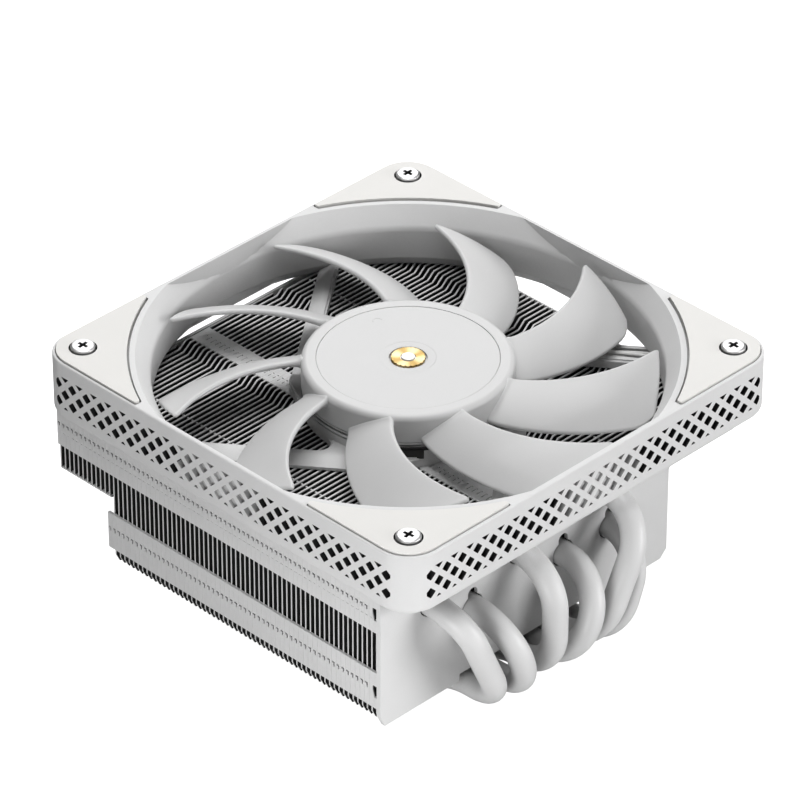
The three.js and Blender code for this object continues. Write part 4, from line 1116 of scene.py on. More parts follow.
def blade():
    """Cambered sheet with round tip corners, edges rounded to a bead, and a flare at its root."""
    length = BLADE_TIP_R - BLADE_ROOT_R
    near_root = [0, 0.8, 1.05, 1.4, 1.9, 2.6, 3.6]
    near_tip = [2.9, 2.4, 1.9, 1.4, 1.0, 0.7, 0.45, 0.25, 0.1, 0.02]
    middle = [5 + 1.65 * k for k in range(16)]
    rows = near_root + middle + [length - d for d in near_tip]
    edge_steps = [BLADE_EDGE * (1 - math.cos(math.radians(22.5 * k))) for k in range(5)]
    inner_columns = 16
    upper, lower = [], []
    for out in rows:
        u = out / length
        from_tip = length - out
        width = (blade_point(u, 0) - blade_point(u, 1)).length
        first = corner_inset(from_tip, BLADE_LEAD_CORNER)
        last = width - corner_inset(from_tip, BLADE_TRAIL_CORNER)
        places = [first + s for s in edge_steps[:-1]]
        places += [blend_value(first + BLADE_EDGE, last - BLADE_EDGE, k / inner_columns)
                   for k in range(inner_columns + 1)]
        places += [last - s for s in reversed(edge_steps[:-1])]
        thick = blend_value(BLADE_ROOT_THICKNESS, BLADE_TIP_THICKNESS, u)
        flare = BLADE_FLARE * math.exp(-max(out - 0.8, 0) / 0.6)
        top_row, bottom_row = [], []
        for place_mm in places:
            v = place_mm / width
            edge = min(place_mm - first, last - place_mm, from_tip)
            share = min(max(edge, 0) / BLADE_EDGE, 1)
            half = (thick / 2 + flare / 2) * math.sqrt(max(1 - (1 - share) ** 2, 0)) + 0.02
            here = blade_point(u, v)
            step = 0.01
            across = blade_point(u, v + step) - blade_point(u, v - step)
            along = blade_point(u + step, v) - blade_point(u - step, v)
            normal = across.cross(along).normalized()
            normal = normal if normal.z > 0 else -normal
            top_row.append(here + normal * half)
            bottom_row.append(here - normal * half)
        upper.append(top_row)
        lower.append(bottom_row)
    rings = [top + bottom[::-1] for top, bottom in zip(upper, lower)]
    return loft(rings)


def impeller():
    """Hub with nine blades; its top has a recess for the cap."""
    recess_r = CAP_R + 0.04
    groove = HUB_BOTTOM + 0.75
    inner_r, lip_r, groove_r = HUB_R - HUB_WALL, HUB_R - 0.1, HUB_R - 0.4
    hub = turned([
        (0, HUB_PLATE_BOTTOM, 0), (inner_r, HUB_PLATE_BOTTOM, 0.5), (inner_r, HUB_BOTTOM, 0.2),
        (lip_r, HUB_BOTTOM, 0.2), (lip_r, groove - 0.22, 0.1), (groove_r, groove - 0.2, 0.05),
        (groove_r, groove, 0.05), (HUB_R, groove + 0.1, 0.1), (HUB_R, HUB_TOP, 1.4),
        (recess_r, HUB_TOP, 0.12), (recess_r, CAP_FLOOR, 0), (0, CAP_FLOOR, 0),
    ], 160, 5)
    return finish_piece(unite(hub, round_axis(blade(), BLADE_COUNT)), "impeller", FAN, sharp=40)


def hub_cap():
    """Flat disc with a faint dished ring round its badge and a small moulding mark."""
    low, top = fan_ring("hub_cap")[1:]
    hole = BADGE_R + 0.4
    dish_r = 6.3
    dish = 0.07
    cap = turned([
        (hole, low, 0), (CAP_R, low, 0.1), (CAP_R, top, 0.18), (dish_r + 0.3, top, 0.1),
        (dish_r, top - dish, 0.1), (hole, top - dish, 0.1),
    ], 160)
    mark = ring_solid(0.95, 1.25, top - 0.1, top + 0.06, 0.05, 40)
    mark = common(mark, block(-3, 3, 0, 3, top - 1, top + 1))
    mark_angle, mark_reach = math.radians(160), 16.6
    mark = shift(turn(mark, 70), mark_reach * math.cos(mark_angle), mark_reach * math.sin(mark_angle), 0)
    return finish_piece(unite(cap, mark), "hub_cap", FAN)


def bearing_cap():
    """Badge with a scalloped rim and a bright dished middle."""
    low, top = fan_ring("bearing_cap")[1:]
    face = top - 0.15
    disc = turned([
        (0, low, 0), (BADGE_R, low, 0), (BADGE_R, face, 0.12), (BADGE_CENTRE_R + 0.25, face - 0.12, 0),
        (BADGE_CENTRE_R + 0.2, face - 0.3, 0), (BADGE_CENTRE_R, face - 0.3, 0), (BADGE_CENTRE_R, top, 0.1),
        (0, face - 0.15, 0),
    ], 120)
    scallops = gather([
        post(BADGE_R * math.cos(a), BADGE_R * math.sin(a), low - 1, top + 1, 0.26, 16) for a in angles(20)
    ])
    piece = finish_piece(cut(disc, scallops), "bearing_cap", FAN)
    piece.data.materials.append(MATERIALS["screw_steel"])
    centre = Vector((FAN.x, FAN.y)) * MM
    for face in piece.data.polygons:
        if (face.center.xy - centre).length < (BADGE_CENTRE_R + 0.12) * MM:
            face.material_index = 1
    return piece


def rotor_inside():
    shaft_r, shaft_low, shaft_high = fan_ring("rotor_shaft")
    bore = shaft_r + 0.3
    outer, low, high = fan_ring("rotor_yoke")
    boss_r, boss_low, skirt_r, web_low = 3.4, -7.6, outer - 0.8, -5.9
    yoke = turned([
        (bore, high, 0.1), (bore, boss_low, 0.1), (boss_r, boss_low, 0.2), (boss_r, web_low, 0.3),
        (skirt_r, web_low, 0.5), (skirt_r, low, 0.1), (outer, low, 0.1), (outer, high, 0.6),
    ], 128)
    finish_piece(yoke, "rotor_yoke", FAN)
    magnet_bore = 19.9
    finish_piece(ring_solid(magnet_bore, *fan_ring("magnet_ring"), 0.25, 128), "magnet_ring", FAN)
    clip_groove_r, groove_low, groove_high = shaft_r - 0.2, -13.9, -13.4
    shaft = turned([
        (0, shaft_low, 0), (shaft_r, shaft_low, 0.35), (shaft_r, groove_low - 0.05, 0.05),
        (clip_groove_r, groove_low, 0), (clip_groove_r, groove_high, 0), (shaft_r, groove_high + 0.05, 0.05),
        (shaft_r, shaft_high, 0.2), (0, shaft_high, 0),
    ], 48)
    finish_piece(shaft, "rotor_shaft", FAN)
    finish_piece(ring_solid(bore, *fan_ring("shaft_clip"), 0.08, 48), "shaft_clip", FAN)


# ---- stator ------------------------------------------------------------------------------

STATOR_R = 19.4
ARM_HALF = 2.3
SHOE_HALF_ANGLE = math.radians(36)
CORE_TOP = -8
CORE_BOTTOM = -11


def stator_core():
    """Stack of laminations: each pole is an arm with a curved shoe."""
    shoe = [(STATOR_R * math.cos(a), STATOR_R * math.sin(a)) for a in
            (blend_value(-SHOE_HALF_ANGLE, SHOE_HALF_ANGLE, k / 16) for k in range(17))]
    inner = [(p[0] * 0.9, p[1] * 0.9) for p in reversed(shoe)]
    pole = unite(block(0, STATOR_R - 1, -ARM_HALF, ARM_HALF, CORE_BOTTOM, CORE_TOP),
                 prism(shoe + inner, CORE_BOTTOM, CORE_TOP))
    poles = [turn(duplicate(pole), 90 * k) for k in range(4)]
    discard(pole)
    core = unite(post(0, 0, CORE_BOTTOM, CORE_TOP, TUBE_R + 1.6, 64), *poles)
    core = cut(core, post(0, 0, CORE_BOTTOM - 1, CORE_TOP + 1, TUBE_R + 0.3, 64))
    sheets = 6
    lines = []
    for k in range(1, sheets):
        z = blend_value(CORE_BOTTOM, CORE_TOP, k / sheets)
        lines.append(ring_solid(STATOR_R - 0.12, STATOR_R + 1, z - 0.04, z + 0.04, 0.01, 96))
    return finish_piece(cut(core, *lines), "stator_core", FAN)


def stator_coil(index):
    """Enamelled wire wound round one arm, as separate turns side by side."""
    wire = 0.42
    off_arm = 0.35 + wire
    half_y = ARM_HALF + off_arm
    top = CORE_TOP + off_arm
    bottom = CORE_BOTTOM - off_arm
    turns = []
    x, coil_end = 8.2, 15.8
    while x < coil_end:
        for layer in range(2):
            grow = layer * wire * 1.9
            corners = [
                (half_y + grow, bottom - grow, 1), (half_y + grow, top + grow, 1),
                (-half_y - grow, top + grow, 1), (-half_y - grow, bottom - grow, 1),
            ]
            loop = rounded_outline(corners, 4)
            turns.append(wire_loop([(x + layer * wire, y, z) for y, z in loop], wire))
        x += wire * 2.12
    return finish_piece(turn(gather(turns), 90 * (index - 1)), f"stator_coil_{index}", FAN)


def wire_loop(points, radius, sides=8):
    """Closed wire through points that lie in one plane across X."""
    count = len(points)
    ring_points, faces = [], []
    for i, point in enumerate(points):
        here = Vector(point)
        ahead = (Vector(points[(i + 1) % count]) - Vector(points[i - 1])).normalized()
        side = Vector((1, 0, 0))
        other = ahead.cross(side)
        ring_points += [here + (side * math.cos(a) + other * math.sin(a)) * radius for a in angles(sides)]
    for i in range(count):
        j = (i + 1) % count
        for k in range(sides):
            m = (k + 1) % sides
            faces.append([i * sides + k, i * sides + m, j * sides + m, j * sides + k])
    return new_object("wire", ring_points, faces)


def motor_board():
    """Round board with a chip and a row of solder joints."""
    outer, low, top = fan_ring("motor_board")
    board = ring_solid(TUBE_R + 0.6, outer, low, top, 0.05, 96)
    chip = round_edges(block(9, 13, -2.5, 2.5, top - 0.1, top + 0.4), 0.1, 2, any_edge)
    joint_reach, joint_angles = 12.5, [math.radians(48 + 12 * k) for k in range(4)]
    joints = [post(joint_reach * math.cos(a), joint_reach * math.sin(a), top - 0.1, top + 0.3, 0.55, 20)
              for a in joint_angles]
    return finish_piece(unite(board, chip, *joints), "motor_board", FAN)


def bearing_sleeve():
    bore = 1.8
    return finish_piece(ring_solid(bore, *fan_ring("bearing_sleeve"), 0.25), "bearing_sleeve", FAN)


# ---- cable -------------------------------------------------------------------------------

CABLE_R = 1.1
CABLE_Z = -14.3
CABLE_IN_FRAME = 25
CABLE_STOPS = [
    (-12.8, 16.7, CABLE_Z), (-9, 21, CABLE_Z), (-5.1, 25.2, CABLE_Z), (0.5, 30.9, CABLE_Z),
    (27.2, 52.2, CABLE_Z), (37.3, 60, CABLE_Z), (39.8, 61.6, -15.4), (40.4, 62, -18.2),
    (38, 61.5, -21.5), (31, 59.5, -25.5), (20, 56, -30.5), (8, 50.5, -37), (-1, 46.6, -43), (-8, 45, -48),
]
STEPS_PER_STOP = 4


def smooth_path(stops, steps):
    """Catmull-Rom curve through the stops."""
    points = [Vector(p) for p in stops]
    path = []
    for i in range(len(points) - 1):
        before = points[max(i - 1, 0)]
        start, end = points[i], points[i + 1]
        after = points[min(i + 2, len(points) - 1)]
        slope = end - before
        square = 2 * before - 5 * start + 4 * end - after
        cube = 3 * start - before - 3 * end + after
        for t in (k / steps for k in range(steps)):
            path.append(0.5 * (2 * start + slope * t + square * t ** 2 + cube * t ** 3))
    path.append(points[-1])
    return path


def cable_path():
    return smooth_path(CABLE_STOPS, STEPS_PER_STOP)


def fan_cable():
    """Four insulated wires laid in a slow twist."""
    path = smooth_path(CABLE_STOPS, 10)
    wire_r = 0.44
    lay = CABLE_R - wire_r
    wires = []
    for k in range(4):
        offset_path = []
        side = Vector((0, 0, 1))
        for i, point in enumerate(path):
            ahead = (path[min(i + 1, len(path) - 1)] - path[max(i - 1, 0)]).normalized()
            side = (side - ahead * side.dot(ahead)).normalized()
            other = ahead.cross(side)
            a = math.pi / 2 * k + i * 0.22
            offset_path.append(point + (side * math.cos(a) + other * math.sin(a)) * lay)
        wires.append(sweep_tube(offset_path, wire_r, 10))
    return finish_piece(gather(wires), "fan_cable", FAN)


# ---- fins and end plates -----------------------------------------------------------------


def fin_plan(x):
    half = FIN_THICKNESS / 2
    over = 1
    line = [(x, fin_low.y - over)]
    for k, start in enumerate(JOG_STARTS):
        line.append((x - k * JOG_SHIFT, start))
        line.append((x - (k + 1) * JOG_SHIFT, start + JOG_LENGTH))
    line.append((x - len(JOG_STARTS) * JOG_SHIFT, fin_high.y + over))
    return [(px + half, py) for px, py in line] + [(px - half, py) for px, py in reversed(line)]


LEG_NOTCH = [
    (-NOTCH_HALF, fin_low.z), (-NOTCH_HALF, fin_low.z + NOTCH_RISE),
    (NOTCH_HALF, fin_low.z + NOTCH_RISE), (NOTCH_HALF, fin_low.z),
]


def stack_space():
    """The room the fins fill: side view extruded, less the step under the left side."""
    front, back = fin_low.y + FIN_SETBACK, WING_FRONT - FIN_SETBACK
    side = [
        (front, fin_high.z), (front, fin_low.z + FIN_CORNER_Z), (front + FIN_CORNER_Y, fin_low.z),
        *LEG_NOTCH, (back - FIN_CORNER_Y, fin_low.z), (back, fin_low.z + FIN_CORNER_Z),
        (back, WING_BOTTOM), (fin_high.y, WING_BOTTOM), (fin_high.y, fin_high.z),
    ]
    space = prism_along_x(side, fin_low.x, fin_high.x)
    return cut(space, block(fin_low.x - 1, STEP_X, fin_low.y - 1, fin_high.y, fin_low.z - 1, STEP_BOTTOM))


def fin_positions():
    shift_back = len(JOG_STARTS) * JOG_SHIFT
    count = int((fin_high.x + shift_back - FIN_FIRST) / FIN_PITCH)
    return [FIN_FIRST + i * FIN_PITCH for i in range(count + 1)]


def jogged(x, y):
    """Where a fin that starts at x is when it has come as far back as y."""
    moved = x
    for start in JOG_STARTS:
        share = min(max((y - start) / JOG_LENGTH, 0), 1)
        moved -= JOG_SHIFT * share
    return moved


def fold(low, high, *rest):
    """One fin's folded tab, cut off at the stack's ends; none if that leaves too little."""
    low, high = max(low, fin_low.x), min(high, fin_high.x)
    return [block(low, high, *rest)] if high - low > 0.2 else []


def tick(x, y, low, high):
    """Cutter for an interlock mark in a face across Y: an open slit with a short foot at its top."""
    if not fin_low.x + 0.6 < x < fin_high.x - 2.4:
        return []
    half, foot, foot_height = 0.2, 0.65, 0.45
    slit = [
        (x - half, low), (x + half, low), (x + half, high), (x - foot, high), (x - foot, high - foot_height),
        (x - half, high - foot_height - 0.05),
    ]
    return [prism_along_y(slit, y - 1, y + 1)]


def fin_tabs(start):
    """The tabs folded from the fin whose left side starts at x = start."""
    wide = FIN_PITCH - SEAM
    sheet = FIN_THICKNESS
    deep = FIN_SETBACK + 0.1
    front, back, top = fin_low.y, fin_high.y, fin_high.z
    tabs = fold(start, start + wide, front, front + deep, WING_BOTTOM, top)
    if start < STEP_X:
        tabs += fold(start, min(start + wide, STEP_X), front + FIN_SETBACK, front + 3.2,
                     STEP_BOTTOM, STEP_BOTTOM + sheet)
    if start > STEP_X - 1.2:
        inner = jogged(start, WING_FRONT)
        tabs += fold(start, start + wide, front, front + deep, *LOWER_BAND)
        tabs += fold(inner, inner + wide, WING_FRONT - deep, WING_FRONT, *LOWER_BAND)
    far = jogged(start, back)
    tabs += fold(far, far + wide, back - sheet, back, WING_BOTTOM, top)
    middle = jogged(start, 0)
    tabs += fold(middle, middle + wide, *TOP_BAND, top - sheet, top)
    for y in SPACER_LINES:
        spacer = jogged(start, y)
        if fin_low.x < spacer < fin_high.x - FIN_PITCH:
            low = spacer + 0.1
            tabs.append(block(low, low + FIN_PITCH, y - 0.18, y + 0.18, top - 0.9, top - 0.5))
    return tabs


def fin_marks(start):
    """Cutters for the interlock marks in the tabs of the fin whose left side starts at x = start."""
    front, back, top = fin_low.y, fin_high.y, fin_high.z
    seam = start - SEAM / 2
    mark_x = seam + 0.75
    marks = tick(mark_x, front, top - 4.1, top - 3)
    if fin_low.x + 1 < start + FIN_THICKNESS / 2 < fin_high.x - 2.4:
        marks.append(block(seam + 0.35, seam + 1.2, front - 1, front + 0.12, top - 5.75, top - 5.6))
    if start > STEP_X - 1.2:
        marks += tick(mark_x, front, *LOWER_MARKS)
    marks += tick(jogged(start, back) + 0.75, back, top - 4.1, top - 3)
    middle = jogged(start, 0)
    if fin_low.x + 1 < middle < fin_high.x - 1.6:
        marks.append(block(middle + 0.5, middle + 0.8, -2.2, -0.6, top - 1, top + 1))
        marks.append(block(middle + 0.5, middle + 1.1, -0.75, -0.45, top - 1, top + 1))
    return marks


def end_windows():
    """Cutters for the two openings at the right end of the front face."""
    left, right = fin_high.x - 1.85, fin_high.x - 0.5
    windows = []
    for low, high in WINDOWS:
        outline = rounded_outline([
            (left + 0.55, low, 0.1), (right, low, 0.1), (right, high, 0.1), (left, high, 0.3),
            (left, high - 1.2, 0.2),
        ], 4)
        windows.append(prism_along_y(outline, fin_low.y - 1, fin_low.y + 4))
    return windows


def tab_rooms():
    """Recesses for the end plates' fan tabs, with room for the screws' ends."""
    rooms = []
    half = TAB_HALF + 0.3
    for y in TAB_LINES:
        top = fin_high.z
        corner = block(fin_low.x - 1, half - SCREW_REACH, y - half, y + half, top - 1.3, top + 1)
        rooms.append(unite(corner, post(-SCREW_REACH, y, top - 4, top, 2.1)))
    return rooms


def fin_stack():
    sheets = gather([prism(fin_plan(x), fin_low.z - 1, fin_high.z + 1) for x in fin_positions()])
    stack = common(sheets, stack_space())
    starts = [x - FIN_THICKNESS / 2 for x in fin_positions()]
    stack = unite(stack, gather([tab for start in starts for tab in fin_tabs(start)]))
    marks = [mark for start in starts for mark in fin_marks(start)]
    stack = cut(stack, gather(marks + end_windows()))
    rods = []
    for pipe in PIPES:
        start = fin_low.x - 1 if pipe["z"] >= UPPER_ROW else LOWER_PIPE_END - 1
        rods.append(rod(start, fin_high.x + 1, pipe["y"], pipe["z"], PIPE_R + 0.25))
    pockets = []
    half = HEAD_POCKET_HALF
    for side in SIDES:
        y = centre_mm(f"spring_screw_{side}").y
        pockets.append(block(-half, half, y - half, y + half, fin_low.z - 1, HEAD_POCKET_TOP))
    stack = cut(stack, *rods, *pockets, *tab_rooms())
    return finish_piece(stack, "fin_stack")


def fan_tab(root_x, tip_x, y):
    """Flat ear with a rounded tip on an end plate; it takes a fan screw."""
    tip_r = TAB_HALF - 0.3
    plan = rounded_outline([
        (root_x, y - TAB_HALF, 0), (tip_x, y - TAB_HALF, tip_r), (tip_x, y + TAB_HALF, tip_r),
        (root_x, y + TAB_HALF, 0),
    ], 8)
    return prism(plan, fin_high.z - 1, fin_high.z)


def with_tabs(plate, root_x, tip_x, hole_x):
    """Adds an end plate's two fan tabs and drills them."""
    holes = [post(hole_x, y, fin_high.z - 3, fin_high.z + 1, 1.95) for y in TAB_LINES]
    return cut(unite(plate, *[fan_tab(root_x, tip_x, y) for y in TAB_LINES]), *holes)


def end_plate_right():
    inner_x = fin_high.x + 0.4
    outer_x = inner_x + PLATE_THICKNESS
    front = plate_low.y
    corner_z = fin_low.z + PLATE_CORNER_Z
    side = rounded_outline([
        (front, fin_high.z, 0), (front, corner_z, 0.4), (front + PLATE_CORNER_Y, fin_low.z, 0.4),
        *[(y, z, 0.3) for y, z in LEG_NOTCH],
        (WING_FRONT - 2, fin_low.z, 0.3), (WING_FRONT, fin_low.z + 2, 0.3), (WING_FRONT, WING_BOTTOM, 0.8),
        (plate_high.y, WING_BOTTOM, 0.8), (plate_high.y, fin_high.z, 0.5),
    ], 5)
    plate = prism_along_x(side, inner_x, outer_x)
    flange = block(fin_high.x + 0.15, outer_x, front, front + 0.4, corner_z, fin_high.z)
    plate = cut(unite(plate, flange), *[pipe_hole(pipe, inner_x - 1, outer_x + 1) for pipe in PIPES])
    plate = with_tabs(plate, inner_x, SCREW_REACH + TAB_HALF, SCREW_REACH)
    return finish_piece(plate, "end_plate_right", material=PLATE_PAINT)


def pipe_hole(pipe, low_x, high_x):
    """Cutter for a pipe's hole; the lower row's holes run up into a slot with a round top."""
    y, z = pipe["y"], pipe["z"]
    hole = rod(low_x, high_x, y, z, PIPE_R + 0.35, 56)
    if z >= UPPER_ROW:
        return hole
    half, slot_top = 1.5, 40.3
    corners = [(y - half, z, 0), (y + half, z, 0), (y + half, slot_top, 1.45), (y - half, slot_top, 1.45)]
    return unite(hole, prism_along_x(rounded_outline(corners, 8), low_x, high_x))


def end_plate_left():
    outer_x = left_low.x
    inner_x = outer_x + PLATE_THICKNESS
    front, back = fin_low.y + LEFT_PLATE_SETBACK, WING_FRONT - FIN_SETBACK
    side = rounded_outline([
        (front, STEP_BOTTOM, 0.6), (back, STEP_BOTTOM, 0.6), (back, WING_BOTTOM, 0.8),
        (plate_high.y, WING_BOTTOM, 0.8), (plate_high.y, fin_high.z, 0.5), (front, fin_high.z, 0.5),
    ], 5)
    plate = prism_along_x(side, outer_x, inner_x)
    plate = round_edges(plate, 0.2, 2, lambda a, b: abs(a.x - outer_x) < 1e-3 and abs(b.x - outer_x) < 1e-3)
    plate = with_tabs(plate, TAB_HALF - SCREW_REACH, outer_x, -SCREW_REACH)
    return finish_piece(plate, "end_plate_left", material=PLATE_PAINT)


# ---- heat pipes and base -----------------------------------------------------------------


def leg_y(index):
    return (index - (len(PIPES) - 1) / 2) * LEG_PITCH


def pipe_path(pipe, index):
    """Out of the stack, round two quarter bends in a tilted plane, then down an easy S into the base."""
    start = Vector((0, pipe["y"], pipe["z"]))
    drop = Vector((0, pipe["end_y"] - pipe["y"], pipe["low"] - pipe["z"]))
    length = drop.length
    drop.normalize()
    bend_r = min(pipe["reach"] - BEND_START_X, length / 2)
    centre_x = pipe["reach"] - bend_r

    def on_bend(x, along):
        return start + Vector((x, 0, 0)) + drop * along

    tip_x = box_mm(f"heat_pipe_{index + 1}")[0].x if pipe["z"] >= UPPER_ROW else LOWER_PIPE_END
    steps = 16
    path = [Vector((blend_value(tip_x, centre_x, k / steps), pipe["y"], pipe["z"])) for k in range(steps)]
    for k in range(steps + 1):
        a = math.pi / 2 * k / steps
        path.append(on_bend(centre_x + bend_r * math.sin(a), bend_r * (1 - math.cos(a))))
    first = 0 if length - 2 * bend_r > 0.5 else 1
    for k in range(first, steps + 1):
        a = math.pi / 2 * k / steps
        path.append(on_bend(centre_x + bend_r * math.cos(a), length - bend_r * (1 - math.sin(a))))
    base_x = cold_high.x + 1
    for k in range(1, steps + 1):
        share = k / steps
        ease = (1 - math.cos(math.pi * share)) / 2
        path.append(Vector((
            blend_value(centre_x, base_x, share), blend_value(pipe["end_y"], leg_y(index), ease),
            blend_value(pipe["low"], LEG_Z, ease),
        )))
    end_x = cold_low.x + 1
    legs = [blend_value(base_x, end_x, k / steps) for k in range(1, steps + 1)]
    return path + [Vector((x, leg_y(index), LEG_Z)) for x in legs]


def round_nose(path, radius):
    """Ends a path in a round nose; returns the new path and the radii of the nose's points."""
    steps = 5
    end = path[-1]
    inward = (path[-2] - end).normalized()
    nearly_shut = 0.96
    turns = [math.pi / 2 * k / steps * nearly_shut for k in range(1, steps + 1)]
    kept = [p for p in path if (p - end).dot(inward) > radius + 0.1 or p.z > end.z + 4]
    nose = [end + inward * radius * (1 - math.sin(a)) for a in turns]
    return kept + [end + inward * radius] + nose, [radius * math.cos(a) for a in turns]


def heat_pipes():
    for i, pipe in enumerate(PIPES):
        path, nose_radii = round_nose(pipe_path(pipe, i), PIPE_R)
        path = round_nose(path[::-1], PIPE_R)[0][::-1]
        full = [PIPE_R] * (len(path) - 2 * len(nose_radii))
        radii = nose_radii[::-1] + full + nose_radii
        finish_piece(sweep_tube(path, radii, PIPE_SIDES), f"heat_pipe_{i + 1}")


def leg_grooves():
    over, play = 1, 0.12
    return [rod(cold_low.x - over, cold_high.x + over, leg_y(i), LEG_Z, PIPE_R + play)
            for i in range(len(PIPES))]


def drill_places():
    spots = [centre_mm(f"base_screw_{name}") for name in CORNERS]
    return spots + [centre_mm(f"bar_screw_{name}") for name in SIDES]


def base_block(low, high):
    plan = round_rectangle((high.x - low.x) / 2, (high.y - low.y) / 2, 2, 8)
    solid = prism(plan, low.z, high.z)
    return round_edges(solid, 0.3, 3, any_edge)


def cold_plate():
    plate = base_block(cold_low, cold_high)
    drills = [post(p.x, p.y, DRILL_FLOOR, cold_high.z + 1, DRILL_R, 32) for p in drill_places()]
    return finish_piece(cut(plate, *leg_grooves(), *drills), "cold_plate")


def base_cover():
    cover = base_block(cover_low, cover_high)
    drills = [post(p.x, p.y, cover_low.z - 1, cover_high.z + 1, DRILL_R, 32) for p in drill_places()]
    sinks = [post(p.x, p.y, cover_high.z - 1.6, cover_high.z + 1, 2.9, 48) for p in drill_places()[:4]]
    cover = cut(cover, *leg_grooves(), *drills)
    return finish_piece(cut(cover, *sinks), "base_cover", material=PLATE_PAINT)


def crossbar():
    """Strip bent into a low bridge, with a waist and an ear at each end for a sprung screw."""
    thick = 1.8
    half_width = (bar_high.x - bar_low.x) / 2
    ear_y = centre_mm("spring_screw_back").y
    bend = 27.5
    bottom = bar_high.z - thick
    ear_top = bar_low.z + thick
    side = rounded_outline([
        (-ear_y, bar_low.z, 0), (-bend, bar_low.z, 0.4), (-bend, bottom, 0.15), (bend, bottom, 0.15),
        (bend, bar_low.z, 0.4), (ear_y, bar_low.z, 0), (ear_y, ear_top, 0), (bend + thick, ear_top, 0.4),
        (bend + thick, bar_high.z, 0.9), (-bend - thick, bar_high.z, 0.9), (-bend - thick, ear_top, 0.4),
        (-ear_y, ear_top, 0),
    ], 5)
    bar = prism_along_x(side, -half_width, half_width)
    waist = [post(sx * (half_width + 17), 0, bar_low.z - 1, bar_high.z + 1, 19, 96) for sx in (-1, 1)]
    bar = cut(bar, *waist)
    for sy in (-1, 1):
        y = sy * ear_y
        root, side_end, tip = y - sy, y + sy * 0.5, y + sy * 4.15
        tongue = prism(rounded_outline([
            (-half_width, root, 0), (half_width, root, 0), (half_width, side_end, 0), (4.2, tip, 2.5),
            (-4.2, tip, 2.5), (-half_width, side_end, 0),
        ], 6), bar_low.z, ear_top)
        bar = unite(bar, tongue)
        bar = cut(bar, post(0, y, bar_low.z - 1, ear_top + 1, 2.4))
        bar = cut(bar, post(0, centre_mm("bar_screw_back").y * sy, bottom - 1, bar_high.z + 1, 1.6))
    return finish_piece(bar, "crossbar")


def sprung_screw(side):
    """Low hexagon head with a cross, and a threaded shank with a groove for its clip."""
    node = f"spring_screw_{side}"
    low, high = box_mm(node)
    clip_low, clip_high = box_mm(f"screw_clip_{side}")
    head_r, shank_r, groove_r = 3.9, 1.9, 1.4
    head_low = high.z - 2.4
    groove_low, groove_high = clip_low.z - 0.2, clip_high.z + 0.1
    head = prism([(head_r * math.cos(a), head_r * math.sin(a)) for a in angles(6)], head_low, high.z)
    crown = turned([
        (0, head_low - 1, 0), (5, head_low - 1, 0), (5, high.z - 1.1, 0), (3.3, high.z, 0.1), (0, high.z, 0),
    ], 64, 3)
    head = cut(common(head, crown), cross_recess(high.z, 2.1, 1.1))
    collar = turned([
        (0, groove_low - 0.3, 0), (groove_r, groove_low - 0.3, 0), (groove_r, groove_high, 0),
        (shank_r, groove_high, 0.1), (shank_r, head_low + 0.4, 0), (0, head_low + 0.4, 0),
    ], 40, 2)
    thread = threaded_shank(shank_r, low.z, groove_low, 0.6, 32)
    finish_piece(unite(head, collar, thread), node, upright_axis(node))


def screw_clip(side):
    """Flat ring with a gap at one side."""
    node = f"screw_clip_{side}"
    low, high = box_mm(node)
    clip = ring_solid(1.7, 3.2, low.z, high.z, 0.1, 56)
    gap = round_edges(block(0.2, 4.5, -1, 1, low.z - 1, high.z + 1), 0.3, 2, any_edge)
    finish_piece(cut(clip, gap), node, upright_axis(f"spring_screw_{side}"))


def screw_spring(side):
    """Compression spring with closed ends."""
    node = f"screw_spring_{side}"
    low, high = box_mm(node)
    wire, radius = 0.3, 3
    turns, per_turn = 4, 36
    rest = wire + 0.02                  # the end turns' wire lies this far inside the node's box
    path = []
    for i in range(turns * per_turn + 1):
        share = i / (turns * per_turn)
        lift = min(max((share * turns - 0.75) / (turns - 1.5), 0), 1)
        a = 2 * math.pi * share * turns
        z = blend_value(low.z + rest, high.z - rest, lift * 0.84 + share * 0.16)
        path.append(Vector((radius * math.cos(a), radius * math.sin(a), z)))
    spring = finish_piece(sweep_tube(path, wire, 12), node, upright_axis(node))
    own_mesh(spring)


def carried_over(node, width):
    """A CAD node that stays: it gets its material, and a modifier that breaks its edges."""
    obj = frame["nodes"][node]
    obj.data.materials.clear()
    obj.data.materials.append(MATERIALS[SLOT_OF[node]])
    bevel = obj.modifiers.new("broken_edges", "BEVEL")
    bevel.width = width * MM
    bevel.segments = 2
    bevel.limit_method = "ANGLE"
    bevel.angle_limit = math.radians(50)


# ---- stage -------------------------------------------------------------------------------

FLOOR_GLOW = 1.0                    # lifts the floor to plain white, for the camera only


def see_through_from_below(name, colour):
    """Floor that is white to the camera, grey to the lights, and clear to a camera below it."""
    shader = Shader(name)
    shader.set(Base_Color=colour, Roughness=0.9)
    seen = shader.add("ShaderNodeLightPath").outputs["Is Camera Ray"]
    shader.set(Emission_Color=rgb(1, 1, 1), Emission_Strength=shader.math("MULTIPLY", seen, FLOOR_GLOW))
    geometry = shader.add("ShaderNodeNewGeometry")
    clear = shader.add("ShaderNodeBsdfTransparent")
    pick = shader.add("ShaderNodeMixShader")
    shader.feed(pick.inputs[0], geometry.outputs["Backfacing"])
    shader.feed(pick.inputs[1], shader.surface.outputs[0])
    shader.feed(pick.inputs[2], clear.outputs[0])
    output = shader.tree.nodes["Material Output"]
    shader.tree.links.new(pick.outputs[0], output.inputs["Surface"])
    return shader.material


OBJECT_MIDDLE = (0, 0.01, 0.04)
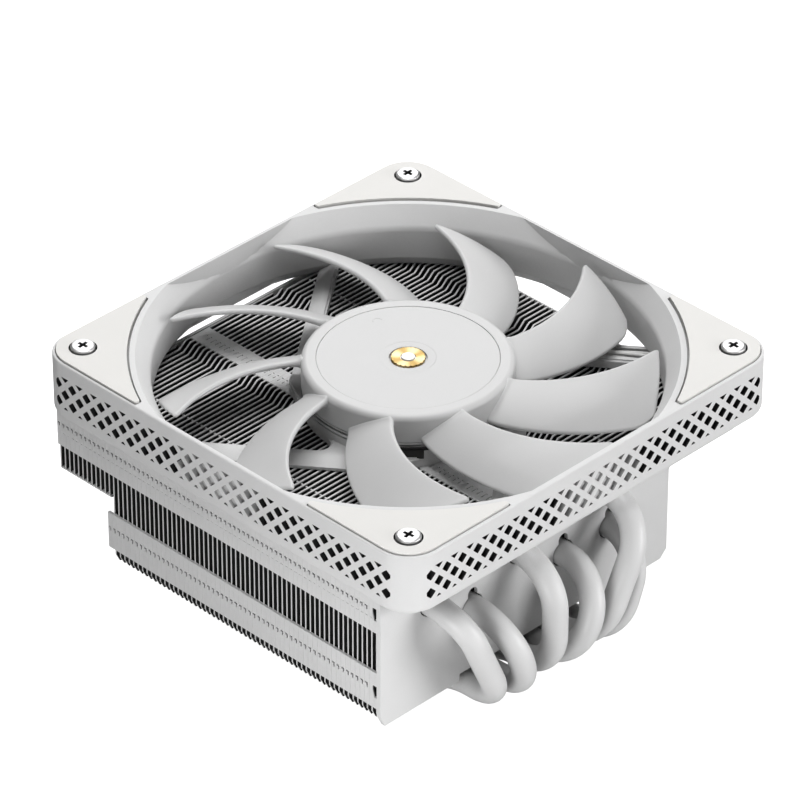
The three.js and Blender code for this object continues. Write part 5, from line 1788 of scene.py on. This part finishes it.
# name, place, side of its square and power in watts; places are in metres
SOFTBOXES = [
    ("top_softbox", (0, 0, 1.1), 0.8, 8.2),
    ("back_softbox", (-0.566, 0.566, 0.7), 0.6, 3.2),
    ("right_softbox", (0.778, 0.495, 0.15), 0.5, 5.4),
]
FRONT_CARD = ("front_card", (0.115, -0.17, 0.03), 0.08, 0.145)
FRONT_CARD_AIM = (0.03, -0.05, 0.04)
FLOOR_HALF = 4.0
FLOOR_GREY = rgb(0.5, 0.5, 0.5)
WORLD_STRENGTH = 0.09


def area_light(name, position, size, power, aim=OBJECT_MIDDLE):
    data = bpy.data.lights.new(name, "AREA")
    data.size = size
    data.energy = power
    lamp = bpy.data.objects.new(name, data)
    bpy.context.scene.collection.objects.link(lamp)
    lamp.location = position
    lamp.visible_camera = False
    ahead = Vector(aim) - Vector(position)
    lamp.rotation_euler = ahead.to_track_quat("-Z", "Y").to_euler()


def build_stage():
    half = FLOOR_HALF
    corners = [(-half, -half, 0), (half, -half, 0), (half, half, 0), (-half, half, 0)]
    floor = new_object("floor", corners, [[0, 1, 2, 3]])
    floor.data.materials.append(see_through_from_below("floor_paper", FLOOR_GREY))
    for softbox in SOFTBOXES:
        area_light(*softbox)
    area_light(*FRONT_CARD, FRONT_CARD_AIM)
    world = bpy.data.worlds.new("studio")
    world.use_nodes = True
    background = world.node_tree.nodes["Background"]
    background.inputs["Color"].default_value = (1, 1, 1, 1)
    background.inputs["Strength"].default_value = WORLD_STRENGTH
    bpy.context.scene.world = world
    bpy.context.scene.view_settings.view_transform = "Standard"


def build_camera():
    """Long lens from the front right, 34 degrees above the horizon."""
    azimuth, elevation = math.radians(45), math.radians(34.23)
    distance, target = 1290.6, Vector((3.45, 5.62, 57.1))
    level = math.cos(elevation)
    back = Vector((math.sin(azimuth) * level, -math.cos(azimuth) * level, math.sin(elevation)))
    data = bpy.data.cameras.new("camera")
    data.sensor_width = 36
    data.lens = 254.4
    data.clip_start = 0.05
    data.clip_end = 50
    camera = bpy.data.objects.new("camera", data)
    bpy.context.scene.collection.objects.link(camera)
    camera.location = (target + back * distance) * MM
    camera.rotation_mode = "QUATERNION"
    camera.rotation_quaternion = (-back).to_track_quat("-Z", "Y")
    bpy.context.scene.camera = camera


# ---- build -------------------------------------------------------------------------------

fan_frame()
corner_pads()
fan_screws()
impeller()
hub_cap()
bearing_cap()
rotor_inside()
stator_core()
for coil_index in range(1, 5):
    stator_coil(coil_index)
motor_board()
bearing_sleeve()
fan_cable()
fin_stack()
end_plate_left()
end_plate_right()
heat_pipes()
cold_plate()
base_cover()
crossbar()
base_screws()
for side_name in SIDES:
    sprung_screw(side_name)
    screw_clip(side_name)
for side_name in SIDES:
    screw_spring(side_name)
carried_over("fan_plug", 0.25)
build_stage()
build_camera()
